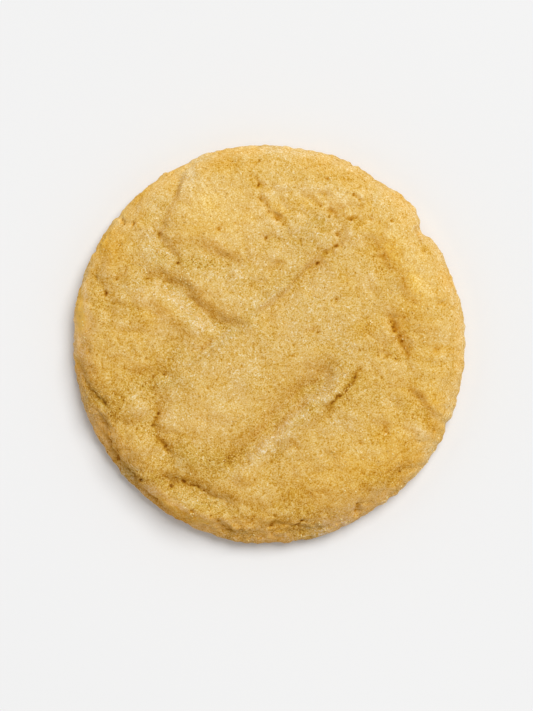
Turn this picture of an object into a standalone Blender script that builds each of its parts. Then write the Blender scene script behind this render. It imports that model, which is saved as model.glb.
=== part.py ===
"""A soft-baked sugar cookie: one round, low, domed piece of dough with a folded and cracked crust.

The rounded disc is a turned profile. Its outline is an ellipse with a few lobes and one notch. The
crust's folds, cracks and mounds are named lines and spots that push the surface in or out. The shape
is worked out in millimetres and scaled to metres at the end. X is to the right and Y to the top as
the cookie is seen from above, and the origin is on the floor under its middle.
"""

import math
from dataclasses import dataclass

import bmesh
import bpy
import numpy as np
from mathutils import Vector, noise

MM = 0.001

# Overall size, in metres
WIDTH = 84.4 * MM
LENGTH = 86.0 * MM
THICKNESS = 12.0 * MM

# The turned disc, in millimetres
MEAN_RADIUS = 42.5
CENTRE_HEIGHT = 10.6
SHOULDER_HEIGHT = 9.4
SHOULDER_REACH = 7.5
WIDEST_HEIGHT = 3.0
FOOT_REACH = 3.2
DOME_STEPS = 4
PROFILE_STEPS = 14
TURN_STEPS = 160
SURFACE_GRAIN = 0.55

# The finished solid
TRIANGLES = 11400
FLAT_FOOT_HEIGHT = 0.12
LEAST_TOP_NORMAL = 0.3
EASING_ROUNDS = 6
EASING_SHARE = 0.5
CRUST_COLOUR = (0.69, 0.43, 0.12, 1.0)
CRUST_ROUGHNESS = 0.85

# Heights between which a crust feature comes in, above the smooth foot of the side
FEATURE_FROM = 2.6
FEATURE_FULL = 6.4

# The outline: an ellipse with lobes, each with its bearing and half width in degrees and its height.
# The disc takes it on between these shares of its radius.
OUTLINE_X = 42.15
OUTLINE_Y = 42.95
OUTLINE_FROM = 0.3
OUTLINE_FULL = 0.9
LOBES = (
    (110.0, 14.0, 0.32),
    (138.0, 15.0, 0.36),
    (164.0, 10.0, 0.40),
    (216.0, 15.0, -0.33),
    (260.0, 9.0, 0.20),
    (301.0, 13.0, -0.66),
    (24.0, 10.0, -0.36),
    (36.3, 2.6, -1.05),
    (46.0, 4.5, 0.42),
    (57.0, 4.5, -0.34),
    (81.0, 5.0, -0.20),
)


@dataclass(frozen=True)
class Furrow:
    """A line along which the crust is pressed in or, with a negative depth, raised.

    The left and right reach are measured as seen when walking from the first point to the last, so
    a short reach makes a steep wall and a long one a gentle slope. A sharpness of 2 rounds the
    bottom and 1 makes it a V. Each end runs out over the fade.
    """

    points: tuple
    depth: float
    left: float
    right: float
    sharpness: float = 2.0
    fade: float = 4.0


@dataclass(frozen=True)
class Spot:
    """A round or oval place that is raised or, with a negative height, sunk."""

    x: float
    y: float
    height: float
    reach_x: float
    reach_y: float
    turn: float = 0.0


FOLDS = (
    Furrow(
        ((-29, 13.8), (-22, 12.8), (-18, 10.8), (-15, 8.2), (-12, 5.6), (-8.5, 3.8), (-3.5, 4)),
        1.20, 1.6, 4.2, fade=8,
    ),
    Furrow(((-22, 4.6), (-19.5, 2.8), (-17, 0.8)), 0.35, 1.0, 1.8),
    Furrow(((-18, 21.5), (-14, 17.6), (-10, 15.6), (-3, 14.6)), 1.00, 2.2, 3.4, fade=5),
    Furrow(((-18.5, 38), (-21, 32), (-22.5, 26), (-22.5, 21), (-19, 17)), 0.55, 1.5, 2.2),
    Furrow(((15.5, -4), (10, -8.6), (4.5, -13.2), (0, -17.8), (-4, -22.2), (-9, -27.5)), 1.75, 3.4, 2.8, fade=5),
    Furrow(((17, -7), (11, -12), (3.5, -18), (-1.5, -22.5), (-8, -30)), -0.85, 2.2, 2.2),
    Furrow(((-24.3, -9.5), (-24.3, -14), (-24.5, -18), (-23, -22), (-19.5, -25.5)), 0.95, 1.2, 2.6),
    Furrow(((-25, -28), (-19, -29.8), (-15, -31.6), (-11, -33.4), (-6, -35.6)), 1.05, 1.4, 3.0),
    Furrow(((17.5, 24.5), (21.2, 21.8), (23.8, 18), (27, 13.5), (28.5, 8.5)), 0.65, 2.8, 1.6),
    Furrow(((25, 8), (26.8, 3.4), (28.2, 0), (29.5, -4.5)), 1.00, 1.8, 1.7, fade=3),
    Furrow(((29.5, -9), (32.5, -13), (35, -16), (36.5, -20.5)), 0.70, 1.5, 1.4),
    Furrow(((31.5, -25), (28, -27.5), (24.5, -30)), 0.45, 1.8, 2.2),
    Furrow(((-33, -5.5), (-28, -6.2), (-22.5, -6.4), (-18, -6)), 0.35, 1.2, 1.8),
    Furrow(((-38, 15.5), (-35, 12), (-34.5, 8), (-31, 5)), 0.45, 1.4, 1.6),
    Furrow(((8.5, 15.6), (3.4, 10.4), (0, 7.4), (-4, 4.6)), 0.50, 2.2, 0.9),
)

CRUST_LINES = (
    Furrow(((-42, -2), (-40.3, -7), (-37, -11), (-34, -14), (-29.5, -17)), 1.10, 0.5, 1.6, 1.6),
    Furrow(
        ((-36.5, -14), (-34.6, -18.5), (-33, -22), (-31, -26.5), (-28, -30), (-24, -34), (-19, -37.8)),
        1.50, 0.6, 2.8, 1.6,
    ),
    Furrow(((-21, -36.6), (-15, -39.4), (-11, -38.8), (-8, -40.6), (-3, -41.6)), 1.00, 0.6, 2.2, 1.6),
    Furrow(((-2, -41.3), (1.5, -39.2), (6, -39.6), (9.5, -40.7), (14, -40)), 1.00, 0.6, 2.2, 1.6),
    Furrow(((31.6, 26.5), (32.2, 24), (33.3, 20)), 0.50, 0.7, 0.9, 1.4, 2.0),
    Furrow(((38, -15), (36, -20), (34, -24.5)), 0.45, 0.6, 1.4, 1.6),
)

CRACKS = (
    Furrow(((15.5, 22), (12.2, 19.6), (10.4, 17.4), (7.5, 14.8)), 0.95, 0.9, 0.9, 1.4, 2.0),
    Furrow(((-5.5, 4.3), (-9, 1.6), (-13, -0.8), (-17.5, -5.5)), -0.45, 0.8, 0.8),
    Furrow(((-9.5, 1.4), (-12.6, 0.4), (-16.5, -2.6)), 0.50, 0.7, 0.6, 1.5),
    Furrow(((20.2, -4.6), (17.8, -8.2), (15, -11), (12.6, -14.2), (10.4, -17.6)), 1.45, 1.1, 1.1, 1.5, 2.5),
    Furrow(((7.4, -20.4), (3.5, -22.4), (1, -25), (-0.2, -27.4)), 0.80, 0.8, 0.8, 1.4, 2.0),
    Furrow(((-24.4, -11), (-24, -16), (-24, -20), (-22, -22.4), (-20.5, -24.6)), 0.55, 0.6, 0.6, 1.4, 2.0),
    Furrow(((-21.5, -29.4), (-16, -30.6), (-12.5, -32.2), (-8.5, -34.2)), 0.55, 0.6, 0.6, 1.4, 2.0),
    Furrow(((-4.5, 36.5), (-2, 34), (-2, 31), (0, 28.4), (2, 27), (3.8, 24.8)), 0.40, 0.7, 0.7, 1.4, 2.0),
    Furrow(((15.5, 34.5), (18, 32.2), (20, 30), (19.2, 27.6), (16.5, 26.4)), 0.65, 0.7, 0.7, 1.4, 2.0),
    Furrow(((10.5, 29.8), (13, 28.8), (12.8, 26.4)), 0.60, 0.7, 0.7, 1.4, 1.5),
    Furrow(((20, 27.4), (23.8, 26)), 0.50, 0.6, 0.6, 1.4, 1.5),
    Furrow(((13.6, 24), (15, 23), (14.6, 20.6)), 0.60, 0.6, 0.6, 1.4, 1.0),
    Furrow(((-0.2, 15.2), (1.6, 17), (3.8, 18.2)), 0.55, 0.7, 0.7, 1.4, 1.5),
    Furrow(((-4.2, 12.2), (-2.4, 13.4), (0, 14)), 0.35, 0.6, 0.6, 1.4, 1.5),
    Furrow(((26, 5.8), (27, 3), (28.2, 0.8), (29.6, -2.4)), 0.70, 0.8, 0.8, 1.4, 1.5),
    Furrow(((22.5, -1.8), (25, -2.3), (27.4, -3.2)), 0.50, 0.7, 0.7, 1.4, 1.5),
    Furrow(((19.4, -33), (19, -37.4)), 0.90, 0.9, 0.9, 1.5, 1.5),
    Furrow(((25.8, -16), (25, -18.6), (24.6, -20.4)), 0.55, 0.7, 0.7, 1.4, 1.5),
    Furrow(((17, -21.2), (20.5, -20.8)), 0.35, 0.6, 0.6, 1.4, 1.5),
    Furrow(((-30.2, 17), (-31, 15.2), (-33, 13.4)), 0.45, 0.6, 0.6, 1.4, 1.5),
)

SPOTS = (
    Spot(-9, 30, 0.55, 12, 10),
    Spot(-10, 11.5, 0.55, 9, 4.5, -32),
    Spot(32.5, 13, 0.65, 5.5, 12, 12),
    Spot(32, -17.5, 0.50, 3.2, 3.2),
    Spot(-28, -12, 0.55, 3.2, 4.0),
    Spot(-28, -21.5, 0.55, 3.5, 6.0, -35),
    Spot(-18, -34.5, 0.35, 7, 3.0, -30),
    Spot(-10, -14, 0.50, 11, 8, 30),
    Spot(13, 6, 0.45, 11, 12, -40),
    Spot(20, -24, 0.50, 12, 8, 20),
    Spot(12, 33, 0.35, 9, 5),
    Spot(-33, 0, 0.35, 6, 7),
    Spot(-31, 19, 0.35, 7, 6),
    Spot(-22.3, -6.2, -0.65, 1.4, 1.1),
    Spot(-23.5, 23.5, -0.75, 1.2, 1.4),
    Spot(-10.5, 24.8, -0.45, 1.2, 0.9),
    Spot(-0.6, 22.5, -0.50, 1.2, 1.0),
    Spot(-2.1, 34, -0.45, 1.0, 1.0),
    Spot(-1.9, 31, -0.50, 0.9, 1.0),
    Spot(2, 27, -0.55, 1.3, 1.0, -30),
    Spot(-31, 26.5, -0.45, 1.3, 1.2),
    Spot(-19.5, 17.5, -0.40, 1.0, 1.0),
    Spot(-21, -30, -0.50, 1.2, 1.2),
    Spot(-7.6, -24.2, -0.75, 2.4, 2.0, 45),
    Spot(12.5, 35.5, -0.45, 1.0, 0.9),
    Spot(36, -1.2, -0.45, 1.5, 0.9),
    Spot(37.5, 8.5, -0.45, 1.3, 0.9),
    Spot(33.2, 20, -0.50, 1.2, 1.0),
    Spot(20, 3.6, -0.35, 3.0, 1.6, 20),
    Spot(9, 3, -0.35, 1.8, 1.0),
)

# Natural unevenness, each with the size of one wave, its height and its place in the noise. The
# swells lift the crust, and the wanders shift its lines sideways, first along X and then along Y.
SWELLS = ((15.0, 0.45, 40.0), (6.5, 0.42, 41.0), (3.2, 0.24, 42.0))
WANDER_X = ((5.0, 0.55, 10.0), (2.0, 0.25, 11.0))
WANDER_Y = ((5.0, 0.55, 20.0), (2.0, 0.25, 21.0))

# How closely a line is followed, and how many of its reaches away it is still felt
CURVE_STEP = 0.4
REACHES_FELT = 3.0


def smoothstep(low, high, value):
    """0 below low, 1 above high, and an even rise between them."""
    share = np.clip((value - low) / (high - low), 0.0, 1.0)
    return share * share * (3.0 - 2.0 * share)


def unevenness(points, waves):
    """Sum of smooth noise waves at each point, each of about plus or minus its own height."""
    total = np.zeros(len(points))
    for wave, height, place in waves:
        shift = Vector((place, place, place))
        total += height * np.array([noise.noise(Vector(point) / wave + shift) for point in points])
    return total


def smooth_curve(points):
    """Points every CURVE_STEP along a Catmull-Rom curve through the given ones, and their lengths along it."""
    given = np.array(points, dtype=float)
    ends = np.vstack([2 * given[0] - given[1], given, 2 * given[-1] - given[-2]])
    pieces = []
    for before, start, stop, after in zip(ends, ends[1:], ends[2:], ends[3:]):
        count = max(2, math.ceil(np.linalg.norm(stop - start) / CURVE_STEP))
        t = np.linspace(0.0, 1.0, count, endpoint=False)[:, None]
        slope_in = (stop - before) / 2
        slope_out = (after - start) / 2
        cubic = 2 * start - 2 * stop + slope_in + slope_out
        square = 3 * (stop - start) - 2 * slope_in - slope_out
        pieces.append(start + t * slope_in + t**2 * square + t**3 * cubic)
    curve = np.vstack([*pieces, given[-1:]])
    steps = np.linalg.norm(np.diff(curve, axis=0), axis=1)
    return curve, np.concatenate([[0.0], np.cumsum(steps)])


def furrow_height(furrow, plan):
    """Change of height that one furrow makes at each place of the plan."""
    height = np.zeros(len(plan))
    curve, along = smooth_curve(furrow.points)
    felt = REACHES_FELT * max(furrow.left, furrow.right)
    inside = np.all((plan > curve.min(axis=0) - felt) & (plan < curve.max(axis=0) + felt), axis=1)
    near = plan[inside]
    away = near[:, None, :] - curve[None, :, :]
    nearest = np.argmin((away**2).sum(axis=2), axis=1)
    offset = near - curve[nearest]
    heading = np.gradient(curve, axis=0)[nearest]
    on_left = heading[:, 0] * offset[:, 1] - heading[:, 1] * offset[:, 0] > 0
    reach = np.where(on_left, furrow.left, furrow.right)
    profile = np.exp(-((np.linalg.norm(offset, axis=1) / reach) ** furrow.sharpness))
    to_end = np.minimum(along, along[-1] - along)[nearest]
    height[inside] = -furrow.depth * profile * smoothstep(0.0, furrow.fade, to_end)
    return height


def spot_height(spot, plan):
    """Change of height that one spot makes at each place of the plan."""
    turn = math.radians(spot.turn)
    x = plan[:, 0] - spot.x
    y = plan[:, 1] - spot.y
    across = (x * math.cos(turn) + y * math.sin(turn)) / spot.reach_x
    along = (y * math.cos(turn) - x * math.sin(turn)) / spot.reach_y
    return spot.height * np.exp(-(across**2 + along**2))


def outline_radius(bearing):
    """Radius of the outline at each bearing, in radians."""
    radius = OUTLINE_X * OUTLINE_Y / np.hypot(OUTLINE_Y * np.cos(bearing), OUTLINE_X * np.sin(bearing))
    for centre, half_width, height in LOBES:
        apart = np.degrees(bearing) - centre
        apart = (apart + 180.0) % 360.0 - 180.0
        radius = radius + height * np.exp(-((apart / half_width) ** 2))
    return radius


def disc_profile():
    """Half section of the disc, from the middle of the top round the edge to the middle of the underside."""
    shoulder = MEAN_RADIUS - SHOULDER_REACH
    foot = MEAN_RADIUS - FOOT_REACH
    quarter = [math.radians(90.0 * step / PROFILE_STEPS) for step in range(PROFILE_STEPS + 1)]
    profile = [(0.0, CENTRE_HEIGHT)]
    for step in range(1, DOME_STEPS):
        share = step / DOME_STEPS
        profile.append((shoulder * share, CENTRE_HEIGHT - (CENTRE_HEIGHT - SHOULDER_HEIGHT) * share**2))
    for angle in quarter:
        out = shoulder + SHOULDER_REACH * math.sin(angle)
        profile.append((out, WIDEST_HEIGHT + (SHOULDER_HEIGHT - WIDEST_HEIGHT) * math.cos(angle)))
    for angle in quarter[1:]:
        profile.append((foot + FOOT_REACH * math.cos(angle), WIDEST_HEIGHT * (1.0 - math.sin(angle))))
    profile.append((0.0, 0.0))
    return profile


def evaluated_mesh(obj):
    """The object's mesh with its modifiers applied, as a new mesh."""
    graph = bpy.context.evaluated_depsgraph_get()
    return bpy.data.meshes.new_from_object(obj.evaluated_get(graph))


def turned_disc(collection):
    """The plain rounded disc as an object with an even, fine surface, in millimetres."""
    profile = disc_profile()
    mesh = bpy.data.meshes.new("cookie")
    edges = [(i, i + 1) for i in range(len(profile) - 1)]
    mesh.from_pydata([(radius, 0.0, height) for radius, height in profile], edges, [])
    disc = bpy.data.objects.new("cookie", mesh)
    collection.objects.link(disc)
    screw = disc.modifiers.new("turned", "SCREW")
    screw.steps = TURN_STEPS
    screw.render_steps = TURN_STEPS
    screw.use_merge_vertices = True
    screw.merge_threshold = 0.0001
    grain = disc.modifiers.new("even surface", "REMESH")
    grain.mode = "VOXEL"
    grain.voxel_size = SURFACE_GRAIN
    fine = evaluated_mesh(disc)
    disc.modifiers.clear()
    disc.data = fine
    bpy.data.meshes.remove(mesh)
    return disc


def points_of(mesh):
    """The mesh's points as an array."""
    points = np.empty(len(mesh.vertices) * 3, np.float32)
    mesh.vertices.foreach_get("co", points)
    return points.reshape(-1, 3).astype(float)


def move_points(mesh, points):
    """Puts the mesh's points in these places."""
    mesh.vertices.foreach_set("co", points.astype(np.float32).ravel())
    mesh.update()


def normals_of(mesh):
    """The mesh's normal at each point."""
    normals = np.empty(len(mesh.vertices) * 3, np.float32)
    mesh.vertex_normals.foreach_get("vector", normals)
    return normals.reshape(-1, 3).astype(float)


def shape_outline(mesh):
    """Gives the disc the cookie's own outline."""
    points = points_of(mesh)
    stretch = outline_radius(np.arctan2(points[:, 1], points[:, 0])) / MEAN_RADIUS
    share = np.hypot(points[:, 0], points[:, 1]) / MEAN_RADIUS
    points[:, :2] *= (1.0 + (stretch - 1.0) * smoothstep(OUTLINE_FROM, OUTLINE_FULL, share))[:, None]
    move_points(mesh, points)


def shape_crust(mesh):
    """Pushes the crust in and out along its normals: folds, cracks, mounds, pits and uneven swells."""
    points = points_of(mesh)
    wander = np.column_stack([unevenness(points, WANDER_X), unevenness(points, WANDER_Y)])
    plan = points[:, :2] + wander
    relief = np.zeros(len(points))
    for furrow in FOLDS + CRUST_LINES + CRACKS:
        relief += furrow_height(furrow, plan)
    for spot in SPOTS:
        relief += spot_height(spot, plan)
    relief *= smoothstep(FEATURE_FROM, FEATURE_FULL, points[:, 2])
    relief += unevenness(points, SWELLS) * smoothstep(0.0, WIDEST_HEIGHT, points[:, 2])
    points += normals_of(mesh) * relief[:, None]
    points[:, 2] = np.where(points[:, 2] < FLAT_FOOT_HEIGHT, 0.0, points[:, 2])
    move_points(mesh, points)


def fit_to_size(mesh):
    """Scales to the named width, length and thickness in metres, on the floor and centred on the origin."""
    points = points_of(mesh)
    low = points.min(axis=0)
    high = points.max(axis=0)
    middle = np.array([(low[0] + high[0]) / 2, (low[1] + high[1]) / 2, low[2]])
    points = (points - middle) * (np.array([WIDTH, LENGTH, THICKNESS]) / (high - low))
    move_points(mesh, points)


def ease_folds(mesh):
    """Smooths any triangle on the top that thinning has tipped over."""
    soft = bmesh.new()
    soft.from_mesh(mesh)
    top = (SHOULDER_HEIGHT - WIDEST_HEIGHT) * MM
    inner = (MEAN_RADIUS - SHOULDER_REACH) * MM
    for _ in range(EASING_ROUNDS):
        soft.normal_update()
        tipped = {}
        for face in soft.faces:
            middle = face.calc_center_median()
            if face.normal.z < LEAST_TOP_NORMAL and middle.z > top and middle.xy.length < inner:
                tipped.update(dict.fromkeys(face.verts))
        if not tipped:
            break
        corners = list(tipped)
        bmesh.ops.smooth_vert(
            soft, verts=corners, factor=EASING_SHARE, use_axis_x=True, use_axis_y=True, use_axis_z=True
        )
    soft.to_mesh(mesh)
    soft.free()


def thin_out(obj):
    """Brings the mesh down to TRIANGLES faces, which stay dense where the crust is most uneven."""
    split = obj.modifiers.new("triangles", "TRIANGULATE")
    split.quad_method = "FIXED"
    thinner = obj.modifiers.new("thinner", "DECIMATE")
    thinner.ratio = TRIANGLES / sum(len(face.vertices) - 2 for face in obj.data.polygons)
    thinned = evaluated_mesh(obj)
    obj.modifiers.clear()
    dense = obj.data
    obj.data = thinned
    bpy.data.meshes.remove(dense)
    ease_folds(thinned)
    points = points_of(thinned)
    points[:, 2] = np.where(points[:, 2] < FLAT_FOOT_HEIGHT * MM / 2, 0.0, points[:, 2])
    move_points(thinned, points)


def crust_material():
    """Matte golden crust."""
    material = bpy.data.materials.new("golden_crust")
    material.use_nodes = True
    shader = material.node_tree.nodes["Principled BSDF"]
    shader.inputs["Base Color"].default_value = CRUST_COLOUR
    shader.inputs["Roughness"].default_value = CRUST_ROUGHNESS
    shader.inputs["Metallic"].default_value = 0.0
    return material


def clear_scene():
    """Removes the objects that the scene starts with."""
    for obj in list(bpy.data.objects):
        bpy.data.objects.remove(obj, do_unlink=True)


def main():
    """Makes the cookie."""
    clear_scene()
    collection = bpy.data.collections.new("sugar_cookie")
    bpy.context.scene.collection.children.link(collection)
    cookie = turned_disc(collection)
    shape_outline(cookie.data)
    shape_crust(cookie.data)
    fit_to_size(cookie.data)
    thin_out(cookie)
    cookie.data.name = "cookie"
    cookie.data.materials.append(crust_material())
    cookie.data.shade_smooth()


main()
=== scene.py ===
"""The looks of one soft-baked sugar cookie: its crust, the sugar that lies on it, and a pale studio.

The crust replaces the plain solid in the frame. It starts from the same turned disc and outline as the
solid and follows its folds, cracks and mounds more closely. It adds what is finer: small lobes, small
cracks, pores, wrinkles and colour, with painted light and shade in that colour. Sugar grains, finer sugar
and crumbs lie on it as separate pieces.

Lengths in the lists and the dataclasses are millimetres, with X to the right and Y to the top as the
cookie is seen from above. Meshes and lights are in metres, and MM turns one into the other.
"""

import logging
import math
from dataclasses import dataclass, field
from enum import Enum

import bmesh
import bpy
import numpy as np
from mathutils import Euler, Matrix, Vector, noise


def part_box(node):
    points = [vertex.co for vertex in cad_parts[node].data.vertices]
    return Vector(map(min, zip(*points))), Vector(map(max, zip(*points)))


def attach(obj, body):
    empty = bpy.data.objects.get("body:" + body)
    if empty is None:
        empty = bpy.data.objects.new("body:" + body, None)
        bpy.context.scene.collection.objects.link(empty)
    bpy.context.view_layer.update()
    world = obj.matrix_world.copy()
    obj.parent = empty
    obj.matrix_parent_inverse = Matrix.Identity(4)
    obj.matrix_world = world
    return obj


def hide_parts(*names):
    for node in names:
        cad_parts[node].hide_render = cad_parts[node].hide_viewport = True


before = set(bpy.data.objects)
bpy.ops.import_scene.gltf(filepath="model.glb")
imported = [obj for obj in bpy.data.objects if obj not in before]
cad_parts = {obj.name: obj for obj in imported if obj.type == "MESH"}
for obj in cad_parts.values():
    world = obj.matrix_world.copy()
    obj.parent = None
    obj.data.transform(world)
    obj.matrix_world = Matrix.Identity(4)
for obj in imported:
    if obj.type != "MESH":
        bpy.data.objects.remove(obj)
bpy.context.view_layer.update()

LOG = logging.getLogger("sugar_cookie")
MM = 0.001
Colour = tuple[float, float, float]
Pair = tuple[float, float]
Array = np.ndarray


class Mask(Enum):
    """What the crust's mesh says about each point, by the name of the attribute that holds it."""

    # How deep a point lies; it darkens the colour, partly the crust's own golder hollows, partly painted
    # shade
    CAVITY = "cavity"
    # How brown cracks and pores make a point: partly the crust's own colour, partly painted shade
    CRACK = "crack"
    GRAIN = "grain"
    TINT = "tint"
    # How much lighter or darker a point is: partly its own tone, partly painted light and shade
    TONE = "tone"
    BAKE = "bake"
    RIM = "rim"
    SUGAR = "sugar"
    # Painted shade: how far a point faces away from the light, which makes its colour warmer
    SHADE = "shade"


def smoothstep(low: float, high: float, value: Array) -> Array:
    """0 below low, 1 above high, and an even rise between them."""
    share = np.clip((value - low) / (high - low), 0.0, 1.0)
    return share * share * (3.0 - 2.0 * share)


@dataclass(frozen=True)
class Wave:
    """A smooth natural unevenness: the size of one wave, its height and its place in the noise."""

    size: float
    height: float
    place: float

    def at(self, points: Array) -> Array:
        """The wave at each point.

        Args:
            points: Places, one row of three numbers each.

        Returns:
            One number for each point, of about plus or minus the wave's height.
        """
        places = (points / self.size + self.place).tolist()
        return self.height * np.fromiter(map(noise.noise, places), float, len(points))


@dataclass(frozen=True)
class Crinkle:
    """Rounded bumps with sharp creases between them, as on dough that has risen and dried.

    The height is how deep the creases are, and the tone how much more golden they look.
    """

    size: float
    height: float
    tone: float
    place: float

    def crests(self, points: Array) -> Array:
        """The bumps at each point, from -1 in a crease through 0 on average to about 2 on a crest."""
        return np.abs(Wave(self.size, 1.0, self.place).at(points @ CRINKLE_TURN)) / MEAN_NOISE - 1.0


def unevenness(points: Array, waves: tuple[Wave, ...]) -> Array:
    """The sum of several waves at each point."""
    return sum((wave.at(points) for wave in waves), np.zeros(len(points)))


@dataclass(frozen=True)
class Furrow:
    """A line along which the crust is pressed in or, with a negative depth, raised.

    The left and right reach are measured as seen when walking from the first point to the last, so
    a short reach makes a steep wall and a long one a gentle slope. A sharpness of 2 rounds the
    bottom and 1 makes it a V. Each end runs out over the fade.
    """

    points: tuple[Pair, ...]
    depth: float
    left: float
    right: float
    sharpness: float = 2.0
    fade: float = 4.0

    def curve(self) -> tuple[Array, Array]:
        """The smooth line through the furrow's points.

        Returns:
            Points every CURVE_STEP along a Catmull-Rom curve, and the length up to each of them.
        """
        given = np.array(self.points, dtype=float)
        ends = np.vstack([2 * given[0] - given[1], given, 2 * given[-1] - given[-2]])
        pieces = []
        for before, start, stop, after in zip(ends, ends[1:], ends[2:], ends[3:]):
            count = max(2, math.ceil(np.linalg.norm(stop - start) / CURVE_STEP))
            t = np.linspace(0.0, 1.0, count, endpoint=False)[:, None]
            slope_in = (stop - before) / 2
            slope_out = (after - start) / 2
            cubic = 2 * start - 2 * stop + slope_in + slope_out
            square = 3 * (stop - start) - 2 * slope_in - slope_out
            pieces.append(start + t * slope_in + t**2 * square + t**3 * cubic)
        curve = np.vstack([*pieces, given[-1:]])
        steps = np.linalg.norm(np.diff(curve, axis=0), axis=1)
        return curve, np.concatenate([[0.0], np.cumsum(steps)])

    def height(self, plan: Array) -> Array:
        """Change of height that the furrow makes.

        Args:
            plan: Places as seen from above, one row of two numbers each.

        Returns:
            One height for each place, negative where the crust is pressed in.
        """
        height = np.zeros(len(plan))
        curve, along = self.curve()
        felt = REACHES_FELT * max(self.left, self.right)
        inside = np.all((plan > curve.min(axis=0) - felt) & (plan < curve.max(axis=0) + felt), axis=1)
        near = plan[inside]
        away = near[:, None, :] - curve[None, :, :]
        nearest = np.argmin((away**2).sum(axis=2), axis=1)
        offset = near - curve[nearest]
        heading = np.gradient(curve, axis=0)[nearest]
        on_left = heading[:, 0] * offset[:, 1] - heading[:, 1] * offset[:, 0] > 0
        reach = np.where(on_left, self.left, self.right)
        profile = np.exp(-((np.linalg.norm(offset, axis=1) / reach) ** self.sharpness))
        to_end = np.minimum(along, along[-1] - along)[nearest]
        height[inside] = -self.depth * profile * smoothstep(0.0, self.fade, to_end)
        return height


def crack(depth: float, reach: float, fade: float, *points: Pair) -> Furrow:
    """A narrow crack, as steep on one side as on the other and nearly a V at the bottom."""
    return Furrow(points, depth, reach, reach, CRACK_SHARPNESS, fade)


@dataclass(frozen=True)
class Spot:
    """A round or oval place where the crust is higher, lighter or more golden.

    A negative strength means the opposite.
    """

    x: float
    y: float
    strength: float
    reach_x: float
    reach_y: float
    turn: float = 0.0

    def height(self, plan: Array) -> Array:
        """Change that the spot makes.

        Args:
            plan: Places as seen from above, one row of two numbers each.

        Returns:
            One number for each place.
        """
        turn = math.radians(self.turn)
        x = plan[:, 0] - self.x
        y = plan[:, 1] - self.y
        across = (x * math.cos(turn) + y * math.sin(turn)) / self.reach_x
        along = (y * math.cos(turn) - x * math.sin(turn)) / self.reach_y
        return self.strength * np.exp(-(across**2 + along**2))


def spots(*rows: tuple[float, ...]) -> tuple[Spot, ...]:
    """Spots from rows of X, Y, strength, reach along X and Y and, where turned, the turn in degrees."""
    return tuple(Spot(*row) for row in rows)


def summed(shapes: "tuple[Furrow | Spot, ...]", plan: Array, start: "float | Array" = 0.0) -> Array:
    """What several furrows or spots do together at each place, added to the start."""
    return sum((shape.height(plan) for shape in shapes), np.zeros(len(plan)) + start)


# How closely a line is followed, how many of its reaches away a form is still felt, how sharp a crack's
# bottom is, and how far the noise is from zero on average
CURVE_STEP = 0.4
REACHES_FELT = 3.0
CRACK_SHARPNESS = 1.4
MEAN_NOISE = 0.2

# How the crinkles' noise is turned, so that its own grid doesn't run along the cookie's axes
CRINKLE_TURN = np.array(Euler((0.5, 0.3, 0.6)).to_matrix())

# Where the light comes from: its bearing and its height above the floor, in degrees, and the bearing at
# which the painted light on the rim is strongest
LIGHT_BEARING = 54.0
LIGHT_HEIGHT = 58.0
PAINTED_LIGHT_BEARING = 60.0


def towards_light() -> Array:
    """Unit vector from the cookie to the light."""
    bearing = math.radians(LIGHT_BEARING)
    height = math.radians(LIGHT_HEIGHT)
    flat = math.cos(height)
    return np.array((math.cos(bearing) * flat, math.sin(bearing) * flat, math.sin(height)))


# The folds, broken crust edges, cracks, mounds and pits. The solid has them too, but less closely fitted.
FOLDS = (
    Furrow(
        (
            (-30, 14.6), (-25, 14.2), (-21, 12.8), (-18, 10.6), (-15, 8), (-12, 5.2), (-8.5, 3.8),
            (-3.5, 4.2),
        ),
        1.60, 2.0, 2.6, fade=7,
    ),
    Furrow(
        ((-31, 11.6), (-26, 11.2), (-21.5, 9.4), (-18, 6.6), (-15, 3.8), (-12.5, 1.6)),
        -0.60, 1.8, 3.0, fade=3,
    ),
    Furrow(((-22, 4.6), (-19.5, 2.8), (-17, 0.8)), 0.35, 1.0, 1.8),
    Furrow(((-18, 22.5), (-14, 20.2), (-10, 18), (-4, 16.6)), 1.15, 1.8, 3.2, fade=5),
    Furrow(((-18.5, 38), (-20.4, 33), (-21.8, 28), (-23, 24), (-21.2, 20), (-19, 17)), 1.00, 1.2, 1.9),
    Furrow(
        ((15.5, -4), (10, -8.6), (4.5, -13.2), (0, -17.8), (-4, -22.2), (-9, -27.5)),
        2.00, 3.0, 2.8, fade=5,
    ),
    Furrow(((17, -7), (11, -12), (3.5, -18), (-1.5, -22.5), (-8, -30)), -1.10, 2.0, 2.0),
    Furrow(
        ((-23, -7), (-25.2, -10.5), (-24.2, -13.5), (-25, -17.5), (-23, -21.5), (-19.5, -25.5)),
        0.95, 2.0, 2.6,
    ),
    Furrow(((-25, -28), (-19, -29.8), (-15, -31.6), (-11, -33.4), (-6, -35.6)), 1.50, 2.0, 2.6),
    Furrow(((17.5, 24.5), (21.2, 21.8), (23.8, 18), (27, 13.5), (28.5, 8.5)), 0.65, 1.8, 2.4),
    Furrow(((25, 8), (26.8, 3.4), (28.2, 0), (29.5, -4.5)), 0.90, 1.6, 1.7, fade=3),
    Furrow(((29.5, -9), (32.5, -13), (35, -16), (36.5, -20.5)), 1.10, 1.6, 1.8),
    Furrow(((31.5, -25), (28, -27.5), (24.5, -30)), 0.75, 1.8, 2.4),
    Furrow(((-33, -5.5), (-28, -6.2), (-22.5, -6.4), (-18, -6)), 0.45, 1.4, 2.0),
    Furrow(((-38, 15.5), (-35, 12), (-34.5, 8), (-31, 5)), 0.55, 1.4, 1.6),
    Furrow(((12, 19.4), (8.5, 15.6), (3.4, 10.4), (0, 7.4), (-4, 4.6)), 1.05, 2.2, 1.2),
    Furrow(((-33.5, -15.4), (-29.5, -17.2), (-25.5, -17.6)), 0.50, 1.3, 1.3),
)

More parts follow.
